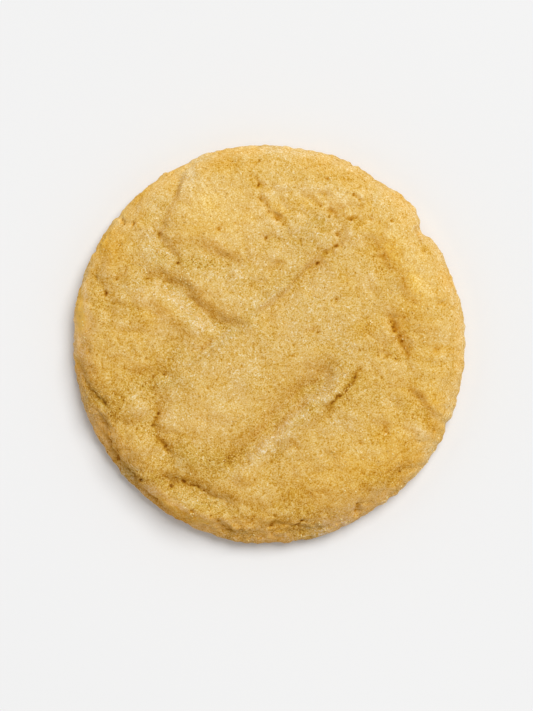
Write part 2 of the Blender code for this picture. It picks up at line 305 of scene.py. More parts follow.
CRUST_LINES = (
    Furrow(((-42, -1.5), (-40.4, -6), (-38.3, -9.4), (-36, -11.6), (-33.4, -14)), 0.60, 1.0, 2.0, 1.6, 3.0),
    Furrow(
        (
            (-37, -14), (-35.8, -18.5), (-34.4, -22), (-32.2, -26.5), (-29.5, -30.5), (-25.7, -34.3),
            (-21, -38),
        ),
        1.60, 0.8, 3.2, 1.6,
    ),
    Furrow(((-21, -36.6), (-15, -39.4), (-11, -38.8), (-8, -40.6), (-3, -41.6)), 0.70, 0.6, 2.2, 1.6),
    Furrow(((-2, -41.3), (1.5, -39.2), (6, -39.6), (9.5, -40.7), (14, -40)), 0.50, 0.7, 2.0, 1.6),
    Furrow(((31.6, 26.5), (32.2, 24), (33.3, 20)), 0.50, 0.7, 0.9, 1.4, 2.0),
    Furrow(((38, -15), (36, -20), (34, -24.5)), 0.45, 0.6, 1.4, 1.6),
)

CRACKS = (
    crack(0.52, 0.8, 2, (15.5, 22), (12.2, 19.6), (10.4, 17.4), (7.5, 14.8)),
    Furrow(((-5.5, 4.3), (-9, 1.6), (-13, -0.8), (-17.5, -5.5)), -0.6, 0.8, 0.8),
    Furrow(((-9.5, 1.4), (-12.6, 0.4), (-16.5, -2.6)), 0.65, 0.7, 0.6, 1.5),
    Furrow(((20.2, -4.6), (17.8, -8.0), (15.2, -11), (12.6, -14.2), (10.4, -17.6)), 0.42, 0.8, 1, 1.6, 3),
    crack(0.24, 0.8, 2, (7.4, -20.4), (3.5, -22.4), (1, -25), (-0.2, -27.4)),
    crack(0.22, 0.6, 2, (-24.9, -11), (-24, -14), (-24.6, -17.4), (-22.6, -21.4), (-20.5, -24.6)),
    crack(0.22, 0.6, 2, (-21.5, -29.4), (-16, -30.6), (-12.5, -32.2), (-8.5, -34.2)),
    crack(0.4, 0.7, 2, (-4.5, 36.5), (-2, 34), (-2, 31), (0, 28.4), (2, 27), (3.8, 24.8)),
    crack(0.16, 0.7, 2, (16, 34), (18.2, 32.2), (19.8, 30.6), (19.4, 28.2), (16.4, 26.6)),
    crack(0.15, 0.7, 1.5, (10.5, 29.8), (13, 28.8), (12.8, 26.4)),
    crack(0.3, 0.6, 1.5, (20, 27.4), (23.8, 26)),
    crack(0.16, 0.6, 1, (13.6, 24), (15, 23), (14.6, 20.6)),
    crack(0.4, 0.7, 1.5, (-0.2, 15.2), (1.6, 17), (3.8, 18.2)),
    crack(0.35, 0.6, 1.5, (-4.2, 12.2), (-2.4, 13.4), (0, 14)),
    crack(0.42, 0.8, 1.5, (26, 5.8), (27, 3), (28.2, 0.8), (29.6, -2.4)),
    crack(0.5, 0.7, 1.5, (22.5, -1.8), (25, -2.3), (27.4, -3.2)),
    Furrow(((19.4, -33), (19, -37.4)), 0.45, 0.9, 0.9, 1.5, 1.5),
    crack(0.36, 0.7, 1.5, (25.8, -16), (25, -18.6), (24.6, -20.4)),
    crack(0.35, 0.6, 1.5, (17, -21.2), (20.5, -20.8)),
    crack(0.45, 0.6, 1.5, (-30.2, 17), (-31, 15.2), (-33, 13.4)),
)

MOUNDS = spots(
    (-9, 30, 0.55, 12, 10), (-10, 11.5, 0.55, 9, 4.5, -32), (32.5, 13, 0.65, 5.5, 12, 12),
    (32, -17.5, 0.5, 3.2, 3.2), (-27.5, -12, 0.6, 2.8, 4), (-28, -21.5, 0.75, 3.5, 6, -35),
    (-18, -34.5, 0.6, 7, 3, -30), (-10, -14, 0.5, 11, 8, 30), (13, 6, 0.45, 11, 12, -40),
    (20, -24, 0.5, 12, 8, 20), (12, 33, 0.35, 9, 5), (-33, 0, 0.35, 6, 7), (-31, 19, 0.35, 7, 6),
    (2, -41, -1.5, 20, 8), (-31, -30, -0.5, 10, 5, -45),
)

PITS = spots(
    (-22.3, -6.2, -0.42, 1.4, 1.1), (-23.5, 23.5, -0.6, 1.2, 1.4), (-10.5, 24.8, -0.45, 1.2, 0.9),
    (-0.6, 22.5, -0.5, 1.2, 1), (-2.1, 34, -0.45, 1, 1), (-1.9, 31, -0.5, 0.9, 1),
    (1.8, 26.9, -0.5, 1, 0.8, -30), (-31, 26.5, -0.45, 1.3, 1.2), (-19.5, 17.5, -0.4, 1, 1),
    (-21, -30, -0.5, 1.2, 1.2), (-7.8, -24.2, -0.4, 2.6, 2, 45), (-22.4, -21.6, -0.25, 1.3, 1, -45),
    (12.2, 19.5, -0.35, 1.2, 0.8, 45), (10.4, 17.3, -0.25, 1.2, 0.8, 45), (8, 15.3, -0.25, 1.3, 0.8, 45),
    (14.6, 21.2, -0.3, 1, 0.8, 30), (24.4, 18.8, -0.6, 1.6, 1.3, 60), (27, 4.6, -0.35, 1.6, 1.6),
    (29.2, -0.8, -0.35, 1.4, 1.6), (24.9, -18.6, -0.2, 1.2, 1), (19.2, -34.6, -0.5, 1, 1.4),
    (1.2, -38.4, -0.4, 1.6, 0.9), (6.6, -38.8, -0.4, 1.6, 0.9, 20), (12.5, 35.5, -0.45, 1, 0.9),
    (36, -1.2, -0.26, 1.5, 0.9), (37.5, 8.5, -0.26, 1.3, 0.9), (33.2, 20, -0.28, 1.2, 1),
    (20, 3.6, -0.35, 3, 1.6, 20), (9, 3, -0.35, 1.8, 1),
)

# Natural unevenness, the same as in the solid. The swells lift the crust, and the wanders shift its lines
# sideways, first along X and then along Y.
SWELLS = (Wave(15.0, 0.45, 40.0), Wave(6.5, 0.42, 41.0), Wave(3.2, 0.24, 42.0))
WANDER_X = (Wave(5.0, 0.55, 10.0), Wave(2.0, 0.25, 11.0))
WANDER_Y = (Wave(5.0, 0.55, 20.0), Wave(2.0, 0.25, 21.0))

# How torn edges are shifted along X and along Y, and how a fine crack breaks up into beads
TORN = (Wave(1.2, 0.9, 62.2), Wave(1.5, 0.9, 62.5))
BEADS = Wave(1.1, 0.9, 60.0)

# Crinkles that only the finer crust has, and the places where they are stronger or weaker than elsewhere
CRINKLES = (
    Crinkle(5.2, 0.10, 0.022, 70.0),
    Crinkle(2.6, 0.045, 0.023, 71.0),
    Crinkle(1.4, 0.010, 0.020, 72.0),
    Crinkle(0.8, 0.003, 0.020, 73.0),
)
LIVELINESS = spots(
    (14, 28, 1.6, 13, 8), (-31, 12, 0.4, 8, 14), (-28, -22, 0.6, 8, 12, -35), (26, 0, 0.5, 6, 8),
    (-8, -38, 0.6, 16, 4), (28, -20, 0.3, 9, 9), (3, 2, -0.5, 22, 9, 42), (-14, -10, -0.3, 8, 8),
)

# The lobes of the solid's outline, each with its bearing and half width in degrees and its height
LOBES = (
    (110, 14, 0.32), (138, 15, 0.36), (164, 10, 0.4), (216, 15, -0.33), (260, 9, 0.2), (301, 13, -0.66),
    (24, 10, -0.36), (36.3, 2.6, -1.05), (46, 4.5, 0.42), (57, 4.5, -0.34), (81, 5, -0.2),
)

# Low folds that only the finer crust has
LOW_FOLDS = (
    Furrow(
        ((-29, 12.6), (-25, 11.8), (-21, 9.8), (-18.2, 7.2), (-15.6, 4.4), (-13, 2.2)),
        -0.50, 2.0, 6.5, fade=3,
    ),
    Furrow(((8, -15.4), (4, -18.6), (1, -21), (-3, -24.6), (-6, -28)), -0.35, 1.8, 4.5, fade=3),
    Furrow(((-29.5, -18), (-26.5, -20.5), (-24, -23.5)), -0.35, 2.0, 2.2, fade=2),
)

# Finer lobes and small steps in the outline that only the finer crust has
FINE_LOBES = (
    (27, 5, 0.6), (6, 4, 0.2), (354, 4, 0.3), (66, 14, 0.38), (40, 8, 0.2), (73, 4, 0.15),
    (103, 7, 0.36), (121, 3.5, 0.5), (132, 5, 0.62), (149, 8, 0.32), (171, 5.5, 0.56), (198, 8, -0.14),
    (245, 5, -0.45), (262, 5, 0.35), (287, 5, -0.33), (312, 14, 0.18), (64.8, 1, -0.3), (46.2, 0.9, -0.22),
    (113.6, 1.2, -0.28), (139.3, 1.1, -0.3), (151.8, 1.3, -0.25), (338.6, 1, 0.25), (336, 1.2, -0.3),
)

# Finer cracks that only the finer crust has, some of them along the bottom of a crack of the solid
FINE_CRACKS = (
    crack(0.4, 0.4, 0.8, (-29.4, 26.4), (-28.6, 25)),
    crack(
        0.18, 0.5, 1.2, (-25.6, 26.2), (-24.9, 25.4), (-23.9, 24.4), (-23.2, 22.2), (-22.6, 21.2),
        (-21.3, 20.4),
    ),
    crack(0.45, 0.5, 1, (-38.2, 15.2), (-37, 14.5), (-36.6, 13.2)),
    crack(0.55, 0.45, 0.8, (-35.6, 11.8), (-34.8, 11), (-35, 10)),
    crack(0.3, 0.5, 1, (-35.8, 8.6), (-34.2, 9), (-31, 8.6), (-29.8, 8)),
    Furrow(
        ((-39.8, -4), (-39.8, -6.8), (-38.6, -9.4), (-37, -10.8), (-35.4, -12.2), (-33.4, -14)),
        0.28, 0.4, 0.5, 1.4, 1.5,
    ),
    Furrow(((-35.4, -13.4), (-34.8, -16), (-34.3, -19), (-33, -22)), 0.22, 0.35, 0.45, 1.4, 1.5),
    Furrow(
        ((-33, -21.8), (-31.7, -25), (-30, -27.4), (-28.2, -29.8), (-26.2, -33), (-24, -35)),
        0.36, 0.4, 0.5, 1.4, 1.5,
    ),
    crack(0.35, 0.4, 0.8, (-26.8, -8.8), (-25.2, -7.6), (-24.4, -6.8)),
    crack(0.35, 0.4, 0.8, (-25, -12.6), (-24, -13.8), (-24.4, -16.8), (-25.6, -17.8)),
    crack(0.26, 0.42, 1, (-24.2, -19), (-23, -20.6), (-22, -22), (-20.8, -23.8)),
    crack(0.35, 0.45, 1, (-19.4, -28), (-18.2, -29.4), (-16.2, -30), (-14, -31.4)),
    crack(0.2, 0.45, 1, (-13.4, -31), (-12.2, -32.6), (-10, -33.4), (-8.4, -34)),
    crack(0.3, 0.45, 1, (-12, -37.6), (-10.6, -38.6), (-9.6, -40.4), (-8, -41.2)),
    crack(0.45, 0.5, 1, (0.6, -40.6), (0.9, -38.4), (2.6, -38.6)),
    crack(0.45, 0.5, 1, (5, -39.6), (6.2, -39.2), (7.2, -38)),
    crack(0.2, 0.4, 0.8, (3, -22), (5.4, -21.8), (6.2, -21)),
    crack(0.21, 0.4, 1.2, (19.5, -5), (18.4, -6.8), (17.2, -8.5)),
    crack(0.18, 0.4, 1.2, (16.2, -9.8), (14.8, -11.2), (12.8, -13.4)),
    crack(0.25, 0.4, 0.6, (13.8, -11.3), (14.8, -10.9), (15.5, -11.1)),
    crack(0.25, 0.3, 0.6, (26.6, -12.2), (27.2, -13.2), (27.5, -14)),
    crack(0.4, 0.35, 0.5, (30.3, -14.8), (31, -15.4)),
    crack(0.32, 0.4, 0.7, (34.4, -1.2), (35.6, -1.2), (36.6, -0.6)),
    crack(0.36, 0.45, 0.8, (26.2, 6.2), (26.2, 5), (26.9, 3.4), (27.2, 2.4)),
    crack(0.3, 0.35, 1, (31.9, 24.6), (32.4, 22.2), (33.2, 20)),
    crack(0.4, 0.4, 0.6, (13.4, 8.7), (14.3, 9.2), (14.4, 10.2)),
    crack(0.2, 0.35, 1, (14.6, 16), (15.8, 15), (16.6, 14), (16.2, 12.8)),
    crack(0.3, 0.4, 0.8, (-3, 38), (-2.4, 39.2), (-1.6, 40)),
    crack(0.15, 0.4, 0.8, (-20.2, 37.4), (-19.4, 35.2)),
    crack(0.35, 0.4, 0.5, (-0.9, 23.2), (-0.4, 22.4)),
    crack(0.08, 0.5, 1.2, (-9.8, 19), (-12.6, 20.4), (-15.2, 22.4)),
    crack(0.3, 0.4, 1, (-27.2, 14), (-24.4, 14), (-22.8, 13.6), (-20.4, 13)),
    crack(0.3, 0.4, 1, (-17.6, 11), (-16.6, 9.8), (-15.4, 8.8), (-14, 7.6)),
    crack(
        0.36, 0.32, 1, (17.6, 32.4), (18.8, 31.4), (19.7, 30), (19.4, 28.4), (18.6, 27.2), (17.4, 26.7),
        (16.2, 26.8),
    ),
    crack(0.4, 0.33, 0.6, (10.5, 32.5), (11.5, 31.9)),
    crack(0.34, 0.33, 0.8, (12.5, 30.5), (13.2, 29), (13.3, 27.6), (12.3, 26.9)),
    crack(0.4, 0.33, 0.6, (9.9, 29.9), (11.5, 29.4)),
    crack(0.35, 0.4, 0.6, (13.7, 23.8), (14.5, 23.3), (15.3, 22.8)),
    crack(0.42, 0.4, 0.6, (13.6, 21), (14.8, 21.1), (15.2, 21.9)),
    crack(0.35, 0.4, 0.6, (6.1, 22.7), (6.9, 21.2)),
    crack(0.36, 0.33, 0.6, (25.9, 26.6), (27, 26.2), (28.6, 25.8)),
    crack(0.28, 0.36, 0.8, (35.6, 9), (37, 8.7), (38.3, 8.6)),
    crack(0.28, 0.45, 0.8, (23.4, -16.4), (24.6, -17.6), (25.2, -18.8)),
    crack(0.45, 0.5, 0.6, (-31.8, 27.4), (-30.9, 26.2)),
    crack(0.45, 0.4, 0.6, (-16.9, -35), (-15.9, -35.8)),
)

# Pores of the finer crust, each with its place and its reach
PORES = (
    (-5.8, -4.5, 0.4), (0.95, -8.2, 0.26), (0.8, -9, 0.24), (4.6, -6.4, 0.24), (3.5, -6.9, 0.3),
    (5.2, -0.1, 0.34), (4.9, -2.4, 0.36), (0.1, -4.5, 0.24), (-3.3, -0.1, 0.28), (-6.3, 2.5, 0.28),
    (-1.5, -2.8, 0.28), (7.4, -8.6, 0.26), (12.5, 35.4, 0.32), (11.1, 29.5, 0.34), (12.9, 27.2, 0.34),
    (18, 31.8, 0.36), (20.8, 32.3, 0.26), (16, 27.4, 0.3), (17.7, 26.6, 0.34), (21.9, 26.7, 0.28),
    (23.5, 26, 0.34), (26.1, 26.5, 0.4), (14.6, 23.5, 0.34), (14.5, 21.1, 0.36), (12.2, 19.5, 0.34),
    (10.3, 17.4, 0.34), (24.5, 19.2, 0.28), (22.4, 18.8, 0.3), (24.1, 17.4, 0.3), (33.1, 20, 0.36),
    (-23.4, 23.6, 0.42), (-24.4, 23.9, 0.26), (-31.1, 26, 0.3), (-29, 25.6, 0.36), (-14.7, 23.8, 0.26),
    (-10.7, 24.6, 0.4), (-13.3, 16.6, 0.26), (-19.4, 17.4, 0.36), (-20.3, 15, 0.28), (-32.6, 19.6, 0.26),
    (-32.5, 13.9, 0.36), (-33.8, 12.8, 0.26), (-27.2, 9.6, 0.28), (-33.5, 6.8, 0.28), (-25.8, 3.9, 0.3),
    (-32, 1.2, 0.3), (-30.8, 1.1, 0.26), (-18.2, 2.9, 0.28), (-19, 4.2, 0.28), (-38.8, 3, 0.28),
    (-20.8, 1, 0.28), (1.7, 26.8, 0.34), (-0.1, 28.2, 0.3), (3, 25.5, 0.32), (-0.6, 22.7, 0.36),
    (3.8, 21.8, 0.26), (6.6, 22.3, 0.3), (6.9, 21, 0.34), (0.2, 15.7, 0.26), (2, 17.4, 0.26),
    (-3.7, 12.4, 0.3), (14.3, 9.7, 0.3), (9.4, 2.8, 0.3), (10.4, 2.6, 0.36), (8.8, 15.6, 0.3),
    (-31.4, -11.1, 0.3), (-31, -11.9, 0.32), (-23.7, -14.7, 0.32), (-28.1, -18, 0.36),
    (-34.9, -17.1, 0.3), (-30.2, -20.9, 0.28), (-22.1, -21.8, 0.4), (-23, -20.4, 0.3),
    (-12.9, -9.2, 0.38), (-21.1, -30.4, 0.4), (-18.1, -29.2, 0.4), (-13.9, -31.3, 0.34),
    (-10.6, -30.7, 0.3), (-16.4, -35.4, 0.34), (-12.4, -36.7, 0.4), (-27.6, -29.2, 0.45),
    (15.1, -11, 0.26), (13.9, -11.1, 0.22), (19.4, -5.3, 0.26), (22.8, -8.6, 0.3), (17.1, -8.6, 0.22),
    (13.3, -14.2, 0.2), (7.3, -20.1, 0.22), (0.6, -25, 0.38), (2.3, -15.5, 0.26), (-3.7, -15.1, 0.3),
    (19.5, -21, 0.34), (-3.1, -29.6, 0.28), (-6.6, -35.5, 0.36), (3.3, -33.3, 0.3), (1.4, -36.8, 0.36),
    (7.3, -38.1, 0.42), (6, -39.3, 0.38), (19.1, -34.2, 0.36), (18.9, -36.1, 0.3), (24.9, -18.6, 0.26),
    (25.4, -17, 0.28), (29.9, -9.9, 0.34), (30.7, -10.8, 0.3), (25.9, -11.8, 0.26), (28.7, -14.6, 0.3),
    (27.8, -15.9, 0.26), (36.7, -15.3, 0.3), (33.9, -8.7, 0.28), (35.8, -18.5, 0.3), (28.3, -27.4, 0.38),
    (34.5, -23.5, 0.36), (26.1, 4.9, 0.3), (26.9, 2.8, 0.36), (28.5, 0.8, 0.36), (29.5, -1.8, 0.36),
    (29.6, 3.7, 0.3), (36.4, -1, 0.28), (37.6, 8.5, 0.26), (36, 8.6, 0.26), (23.3, -2.3, 0.34),
    (25.3, -2.7, 0.3), (27, -3.1, 0.3), (-2.2, 34, 0.3), (-1.8, 31, 0.28), (3, 34.4, 0.28),
    (-7.8, 39.3, 0.3), (-1.9, 39.6, 0.2), (-19.6, 35.5, 0.34), (-4, 36, 0.34), (-22.3, -6.4, 0.28),
    (-26.9, -8.9, 0.34), (-24.7, -6.9, 0.3), (-31.3, -7.7, 0.3), (-26.1, -3.1, 0.32), (-35.2, -1.4, 0.3),
    (-38.4, -1.5, 0.3), (-21.3, -3.1, 0.34), (-14.2, -0.8, 0.3), (-35.3, -12.5, 0.36), (26.4, 3.9, 0.28),
    (27.6, 1.6, 0.3),
)

# Where the crust is more golden or, with a negative strength, paler
TINTS = spots(
    (-35, 21.5, 2.3, 3.6, 5, 25), (-40.5, 6, 1.5, 2, 7), (-38.5, -5, 0.9, 3, 5),
    (-35, -17, 0.7, 3, 6, 20), (-29, 27, 0.7, 3, 2.2), (-10, 38.5, 0.8, 6.5, 2.4),
    (13, 36.5, 0.7, 6, 1.6, -15), (14, 30.5, 0.7, 5, 2), (21.5, 29, 0.8, 2.4, 3.5, 30),
    (25, 21, 1.4, 3.4, 3.6, -30), (31, 10, 0.9, 4, 7, 15), (27.5, 3.5, 1.3, 2, 4.5, 10),
    (36.5, -0.8, 1.3, 2.4, 1.6), (37.5, 8.5, 0.6, 1.8, 1.4), (34, -12.5, 0.7, 3.4, 3),
    (29.5, -9, 0.7, 3, 2.5), (27, -21.5, 1.2, 5, 5.5), (20, -25.5, 1, 6.5, 3.4, 15), (10, -30, 0.5, 9, 4),
    (-18, -37, 1.9, 5, 1.8, -30), (-9, -39.5, 1.1, 5, 1.6), (-29, -4.5, 0.6, 5, 2),
    (-24.5, 5.5, 0.7, 3, 2.4), (-14, 25, 0.8, 6, 2.6), (-13, 31, 0.8, 6, 4), (20, 3.2, 1.1, 3.2, 1.6, 20),
    (9, 3.5, 0.8, 2.2, 1.6), (2, 28, 0.8, 2.4, 1.8), (-5, 34, 0.5, 4, 3), (2, -39.5, 0.9, 8, 1.8),
    (-28, -30.5, 1, 6, 1.6, -45), (-12.5, 8, 0.5, 4.5, 1.6, -35), (-18.5, 6.4, -0.7, 7, 1.9, -40),
    (3, -14, -0.6, 4, 1.6, 45), (-17, 35.5, -0.9, 1.5, 2.8, -10), (-24, 20, -1.2, 3.4, 5, 10),
    (-23, 30, -0.8, 2.5, 2.4), (-10, 15, -1.1, 7, 2.2, -10), (-28, 12.5, -0.6, 5, 3, -10),
    (-19, -3, -0.7, 4, 4), (-9, 1.5, -1.3, 6.5, 1.6, 38), (4, -18, -1.1, 13, 1.8, 42),
    (8, 9, -0.7, 11, 8), (8, 23, -1, 6, 3), (-22, -12, -0.7, 4.2, 4.2), (-8, -8, -0.9, 6, 5),
    (8, -41.5, -1, 6, 1.6), (35, -27, -0.5, 1.6, 6, -35), (14, -16, -0.6, 3.4, 3.4),
    (-12, -33.5, -1.1, 6, 1.8, -25), (-8.5, -25, -0.8, 3.5, 2.4, 45), (11.5, -9, -0.9, 4, 2.2, 45),
    (1, 41.5, -0.9, 6, 1.8), (-17.3, 8.4, -1, 7, 1.6, -42), (1.5, 11, -0.5, 4, 1.5, 35),
    (10, -8, -0.6, 3.5, 2.4, 30), (16, 0, -0.35, 4, 4), (-22.5, 25, -0.6, 2, 2.4), (23, 32, -0.7, 1.2, 2),
    (0, -19, -0.5, 6, 1.5, 45), (-18, -25.5, -0.5, 4, 2), (-35, -13, -0.5, 3, 1.5, -45),
    (-29, -28, -0.4, 3, 1.5, -45), (11, 26.5, -0.3, 4, 1.5), (27.5, 12, -0.4, 1.2, 1.2),
    (-24, 9, 0.6, 3.5, 1.2, -30), (-32.5, 3, 0.5, 1.5, 1.8), (-10.8, -8, 0.7, 2.8, 3),
    (-7, -13.5, 0.4, 1.6, 1.6), (17, 13.5, 0.6, 2.2, 1.8), (32, 19.5, 0.9, 2, 2), (38, 14.5, 0.9, 1.8, 2),
    (31, 13, 0.6, 2, 4, 20), (28, 26.5, 0.6, 1.6, 1.6), (20, 24.7, 0.6, 2, 1.2),
    (17.5, 33, 0.5, 3, 1.2, -30), (5, 35, 0.4, 3, 1), (1, 30.5, 0.4, 1.6, 1.6), (-3.5, 27.5, 0.4, 2, 1.4),
    (35, 4.5, 0.6, 2, 1.8), (32, -2, 0.6, 2, 2), (36, -5.5, 0.6, 2, 2.2), (36, -17.5, 0.5, 2.4, 3),
    (31.5, -25, 0.6, 4, 2, 45), (16.5, -25, 0.5, 3, 2), (19, -30, 0.4, 3, 2), (22, -35, 0.5, 4, 1.6, 30),
    (-5, -28.5, 0.4, 2, 1.4), (-23.5, -33, 0.6, 1.5, 1.8), (-16.5, -37, 0.7, 4, 1.4, -10),
    (0, -42, 0.6, 3, 1.4), (-34.5, -7, 0.4, 2, 1), (-41, 7.5, 0.9, 1.2, 4), (-27, 33, 0.6, 4, 1.4, 35),
    (-8, 41.5, 0.5, 4, 1), (-19, 18.6, -0.6, 6, 2.2, -10), (-22, 26, -0.4, 2.5, 2.5),
    (-15, 8.5, -0.7, 8, 1.8, -40), (2.5, 12, -0.4, 6, 1.6, 42), (27, 12, -0.5, 2, 3),
    (-23.5, -8, -0.6, 7, 2), (-35.8, -11.5, -0.6, 4.5, 1.8, -50), (-18, -23, -0.6, 3, 2.4),
    (-12, -25, -0.45, 2.5, 2), (-3, -21, -0.55, 3, 2, 45), (3, -23, -0.45, 2.5, 2), (10, 2, -0.3, 2, 2),
    (17, 0, -0.3, 3, 2), (-30, -28, -0.7, 4.5, 1.5, -45), (-18, -31.5, -0.5, 4, 1.4, -25),
    (22, -23.5, -0.45, 3, 2), (-18, -33.8, -0.4, 4, 1.4, -25), (9.5, 17, -0.5, 2, 1.2, 45),
    (3, -13, -0.4, 2.4, 2.4), (-9, 18.3, -0.35, 3, 1.3, -20), (-17, 6.4, -0.4, 3.4, 1.4, -42),
    (-21.8, 7, 0.5, 2.5, 1.4, -30), (-31, 2, 0.4, 2.5, 2), (-17, -37.2, 0.7, 4, 1.3, -25),
    (-23, -33.6, 0.4, 1.6, 1.6), (28, -31, 0.4, 3, 1.5, 40), (-8, 25, 0.35, 4, 2.4),
    (-35, 30, 0.4, 2.4, 4, 45), (-40.5, 8, 0.5, 1.4, 4), (-28, -6, -0.2, 2.4, 2),
    (35, -5, 0.25, 2.4, 2.4), (36.5, -18, 0.4, 1.6, 2.6), (-30, -14, -0.6, 6, 4, -50),
    (11, -8.6, -0.6, 3, 1.6, 20), (-20, -23, -0.4, 3, 1.6), (-8, -25, -0.35, 6, 2, 30),
    (3, -22.5, -0.4, 3, 1.6, 45), (-28, 33, 0.5, 3, 2, 45), (0, 0, -0.25, 4, 6, -45),
    (7, -37.5, -0.4, 4, 1.6), (-37, 12, -0.3, 3, 4), (15, -38, -0.3, 6, 1.6, 20),
    (15, -11, -0.4, 3.4, 1.4, 50), (20, 3.2, -0.4, 2.4, 1.4), (-29.5, -29.5, -0.4, 3, 1.4, -45),
    (-24, 35, 1, 8, 1.8, 36), (-4, 42, 0.8, 4, 1.2), (41, -4, 0.6, 1.4, 5), (-40.5, 9.5, 0.4, 1.4, 3),
    (36, -16, 0.4, 2.4, 4), (27.5, 18, 0.6, 1.6, 5, 12), (33, 9, 0.4, 3, 2), (22, -36, 0.4, 3, 1.4, 30),
    (-8, 29, 0.3, 7, 3), (-30, 24, 0.3, 2, 2), (-19.5, 6.2, 0.5, 4.4, 1.4, -45),
    (-39.5, -11, -0.7, 2, 3, 30), (-17, -24.5, -0.5, 5, 3), (-25.5, -16.5, -0.5, 2, 3),
    (-12, -34.5, -0.4, 8, 1.6, -18), (5, -36.5, -0.4, 3, 2), (15, -4, -0.35, 3, 3),
    (10, -9, -0.3, 3, 1.6), (26, -13, -0.3, 3, 1.6, -30), (-34, 6, -0.3, 2, 3),
    (-23, 4.8, -0.4, 1.8, 1.2), (8, 2, -0.25, 3, 1.6), (32, 22.5, -0.5, 1.6, 1.8), (20, 33, -0.3, 3, 4),
    (-20, 12.5, -0.5, 3, 1.4, -20), (-15, 18, -0.4, 3, 1.4), (-33, 13, -0.3, 2, 2),
    (-9.5, 4, -0.4, 2.4, 1.4), (-27, -10, -0.6, 2.4, 2), (-20.5, -7.5, -0.4, 2.4, 1.6),
    (-36, -12, -0.5, 2.4, 2), (8, -10, -0.4, 4, 2.4), (15, -5, -0.25, 3, 3),
    (33, -14.5, -0.5, 3, 1.4, -30), (26, -11.5, -0.35, 3, 1.4, -30), (-25, -28.5, -0.5, 3, 1.4, -30),
    (-14, -24, -0.4, 3, 3), (-19, -31, -0.4, 3, 1.4, -20), (-12, -29, -0.4, 2.4, 1.6),
    (2, -27, -0.3, 1.6, 3), (5, -34.5, -0.3, 4, 2.4), (27, 12, -0.4, 1.6, 2), (27, 0, -0.5, 1.4, 2.4),
    (22, 18.5, -0.3, 3, 1.6), (6, 19, -0.3, 1.6, 1.6), (-34, 8, -0.3, 1.6, 2), (15, 3, -0.25, 3, 2),
    (-14, 40, -0.5, 2, 1.2), (-20, 35, -0.3, 1.4, 1.4), (20, -10, -0.3, 2.4, 2), (-41, 9, 0.6, 1.4, 2.4),
    (-40.5, 5, 0.7, 1.6, 3), (-41.5, -4, 0.8, 1.4, 2), (-37.5, -18, 1.1, 1.4, 2.4),
    (-33.5, -24, 0.8, 1.4, 2.4, 35), (-27, -32, 0.5, 2, 1.4, -45), (-21, -35.5, 0.6, 4, 1.2, -32),
    (-12, -38.5, 0.7, 4, 1.2, -12), (0, -43, 0.7, 3, 1), (15, -38, 0.8, 3, 1.4, 20),
    (20, -35.5, 0.9, 3, 1.6, 30), (25, -32.5, 0.8, 3, 1.4, 40), (31, -28, 0.5, 2.4, 1.4, 45),
    (33, -20, 0.6, 2, 1.6), (35, -11, 0.5, 2, 2), (34, 3.5, 0.5, 2, 1.4), (33, 17, 0.6, 2, 1.4),
    (7.5, 30.5, 0.6, 2.4, 1.4), (-21.5, 37.5, 0.6, 3, 1.2, 30), (-31, 28, 0.7, 2, 4, 45),
    (-17, 23.5, 0.3, 3, 1.4), (-3, 27, 0.3, 2, 2), (-35.5, 15.5, 0.4, 2, 1.4), (16, 13, 0.4, 2, 2),
    (-20, 7, 0.3, 3, 1.4, -35), (-13.5, 9, 0.4, 1.5, 1.5), (-28, 31.5, 0.8, 3.4, 1.6, 45),
    (13.5, -21, 0.3, 2, 2), (12, -30, 0.3, 3, 3), (-5, -10, 0.25, 4, 4), (26, -17, 0.3, 1.6, 2),
    (-10, 4, -0.6, 3, 1.2, -30), (-20, 12, -0.3, 2, 1.4), (-27, 13.5, -0.4, 2, 1), (-31, 9, -0.3, 3, 3),
    (5.5, 13, -0.4, 1.4, 3, -30), (10, 16, -0.3, 3, 1.4), (1, -17, -0.5, 2, 1.2, 30),
    (-20, -23.5, -0.5, 2.4, 2), (-14, -27, -0.35, 5, 2), (-24.5, -19, -0.5, 3, 1.4),
    (-21, -29.5, -0.4, 3, 1.4), (-12, -34, -0.5, 3, 1.2, -25), (-33, -28.5, -0.6, 1, 2, -45),
    (-20, -38.5, -0.5, 3, 0.8, -30), (8, -11.5, -0.4, 2, 3), (14, -8, -0.2, 3, 2),
    (26, 4.5, -0.4, 1.6, 1.4), (22, -10, -0.3, 2, 1.4), (33, -15, -0.4, 3, 1.2, -30),
    (-19, -1, -0.4, 1.2, 2), (-16, -3, -0.3, 2, 1.4), (33, 20.5, -0.4, 1.4, 1.4),
    (23, 16.5, -0.3, 1.6, 1.4), (16, 37, -0.4, 1.6, 1.6), (-27, 32.5, -0.6, 3, 1.2, 48),
    (-22, 35.5, -0.4, 2, 1.4, 40), (-14.5, 39, -0.5, 2, 1.2), (5, -37, -0.3, 6, 2, 15),
    (12, -41, -0.5, 4, 0.8, 15), (-4.5, -23, -0.4, 2, 2), (-33, -15.5, -0.4, 1.4, 5, 35),
    (-22, -8, -0.4, 4, 1.6), (-41, 12, 0.7, 1, 2), (-39.5, 5, 0.4, 1.4, 2), (-41.5, -4.5, 0.6, 1.4, 2),
    (-31.5, -23, 0.7, 1.6, 3, 40), (-23.5, -33.5, 0.5, 2.4, 1.4, -40), (-27, 10.5, 0.6, 2.4, 1.2),
    (-18.5, 37.5, 0.5, 1.4, 1.4), (-13, 12, 0.3, 2, 1.4), (-8, 20, 0.4, 3, 2),
    (-5.5, 28, 0.3, 3, 1.4, -30), (16, 28, 0.6, 4, 1.4, -20), (24, 26, 0.5, 1.6, 1.6),
    (27.5, 20, 0.5, 3, 3, -45), (30, 15, 0.5, 1.6, 3), (20, 11, 0.4, 3, 2, 45), (14, 13.5, 0.3, 1.4, 1.4),
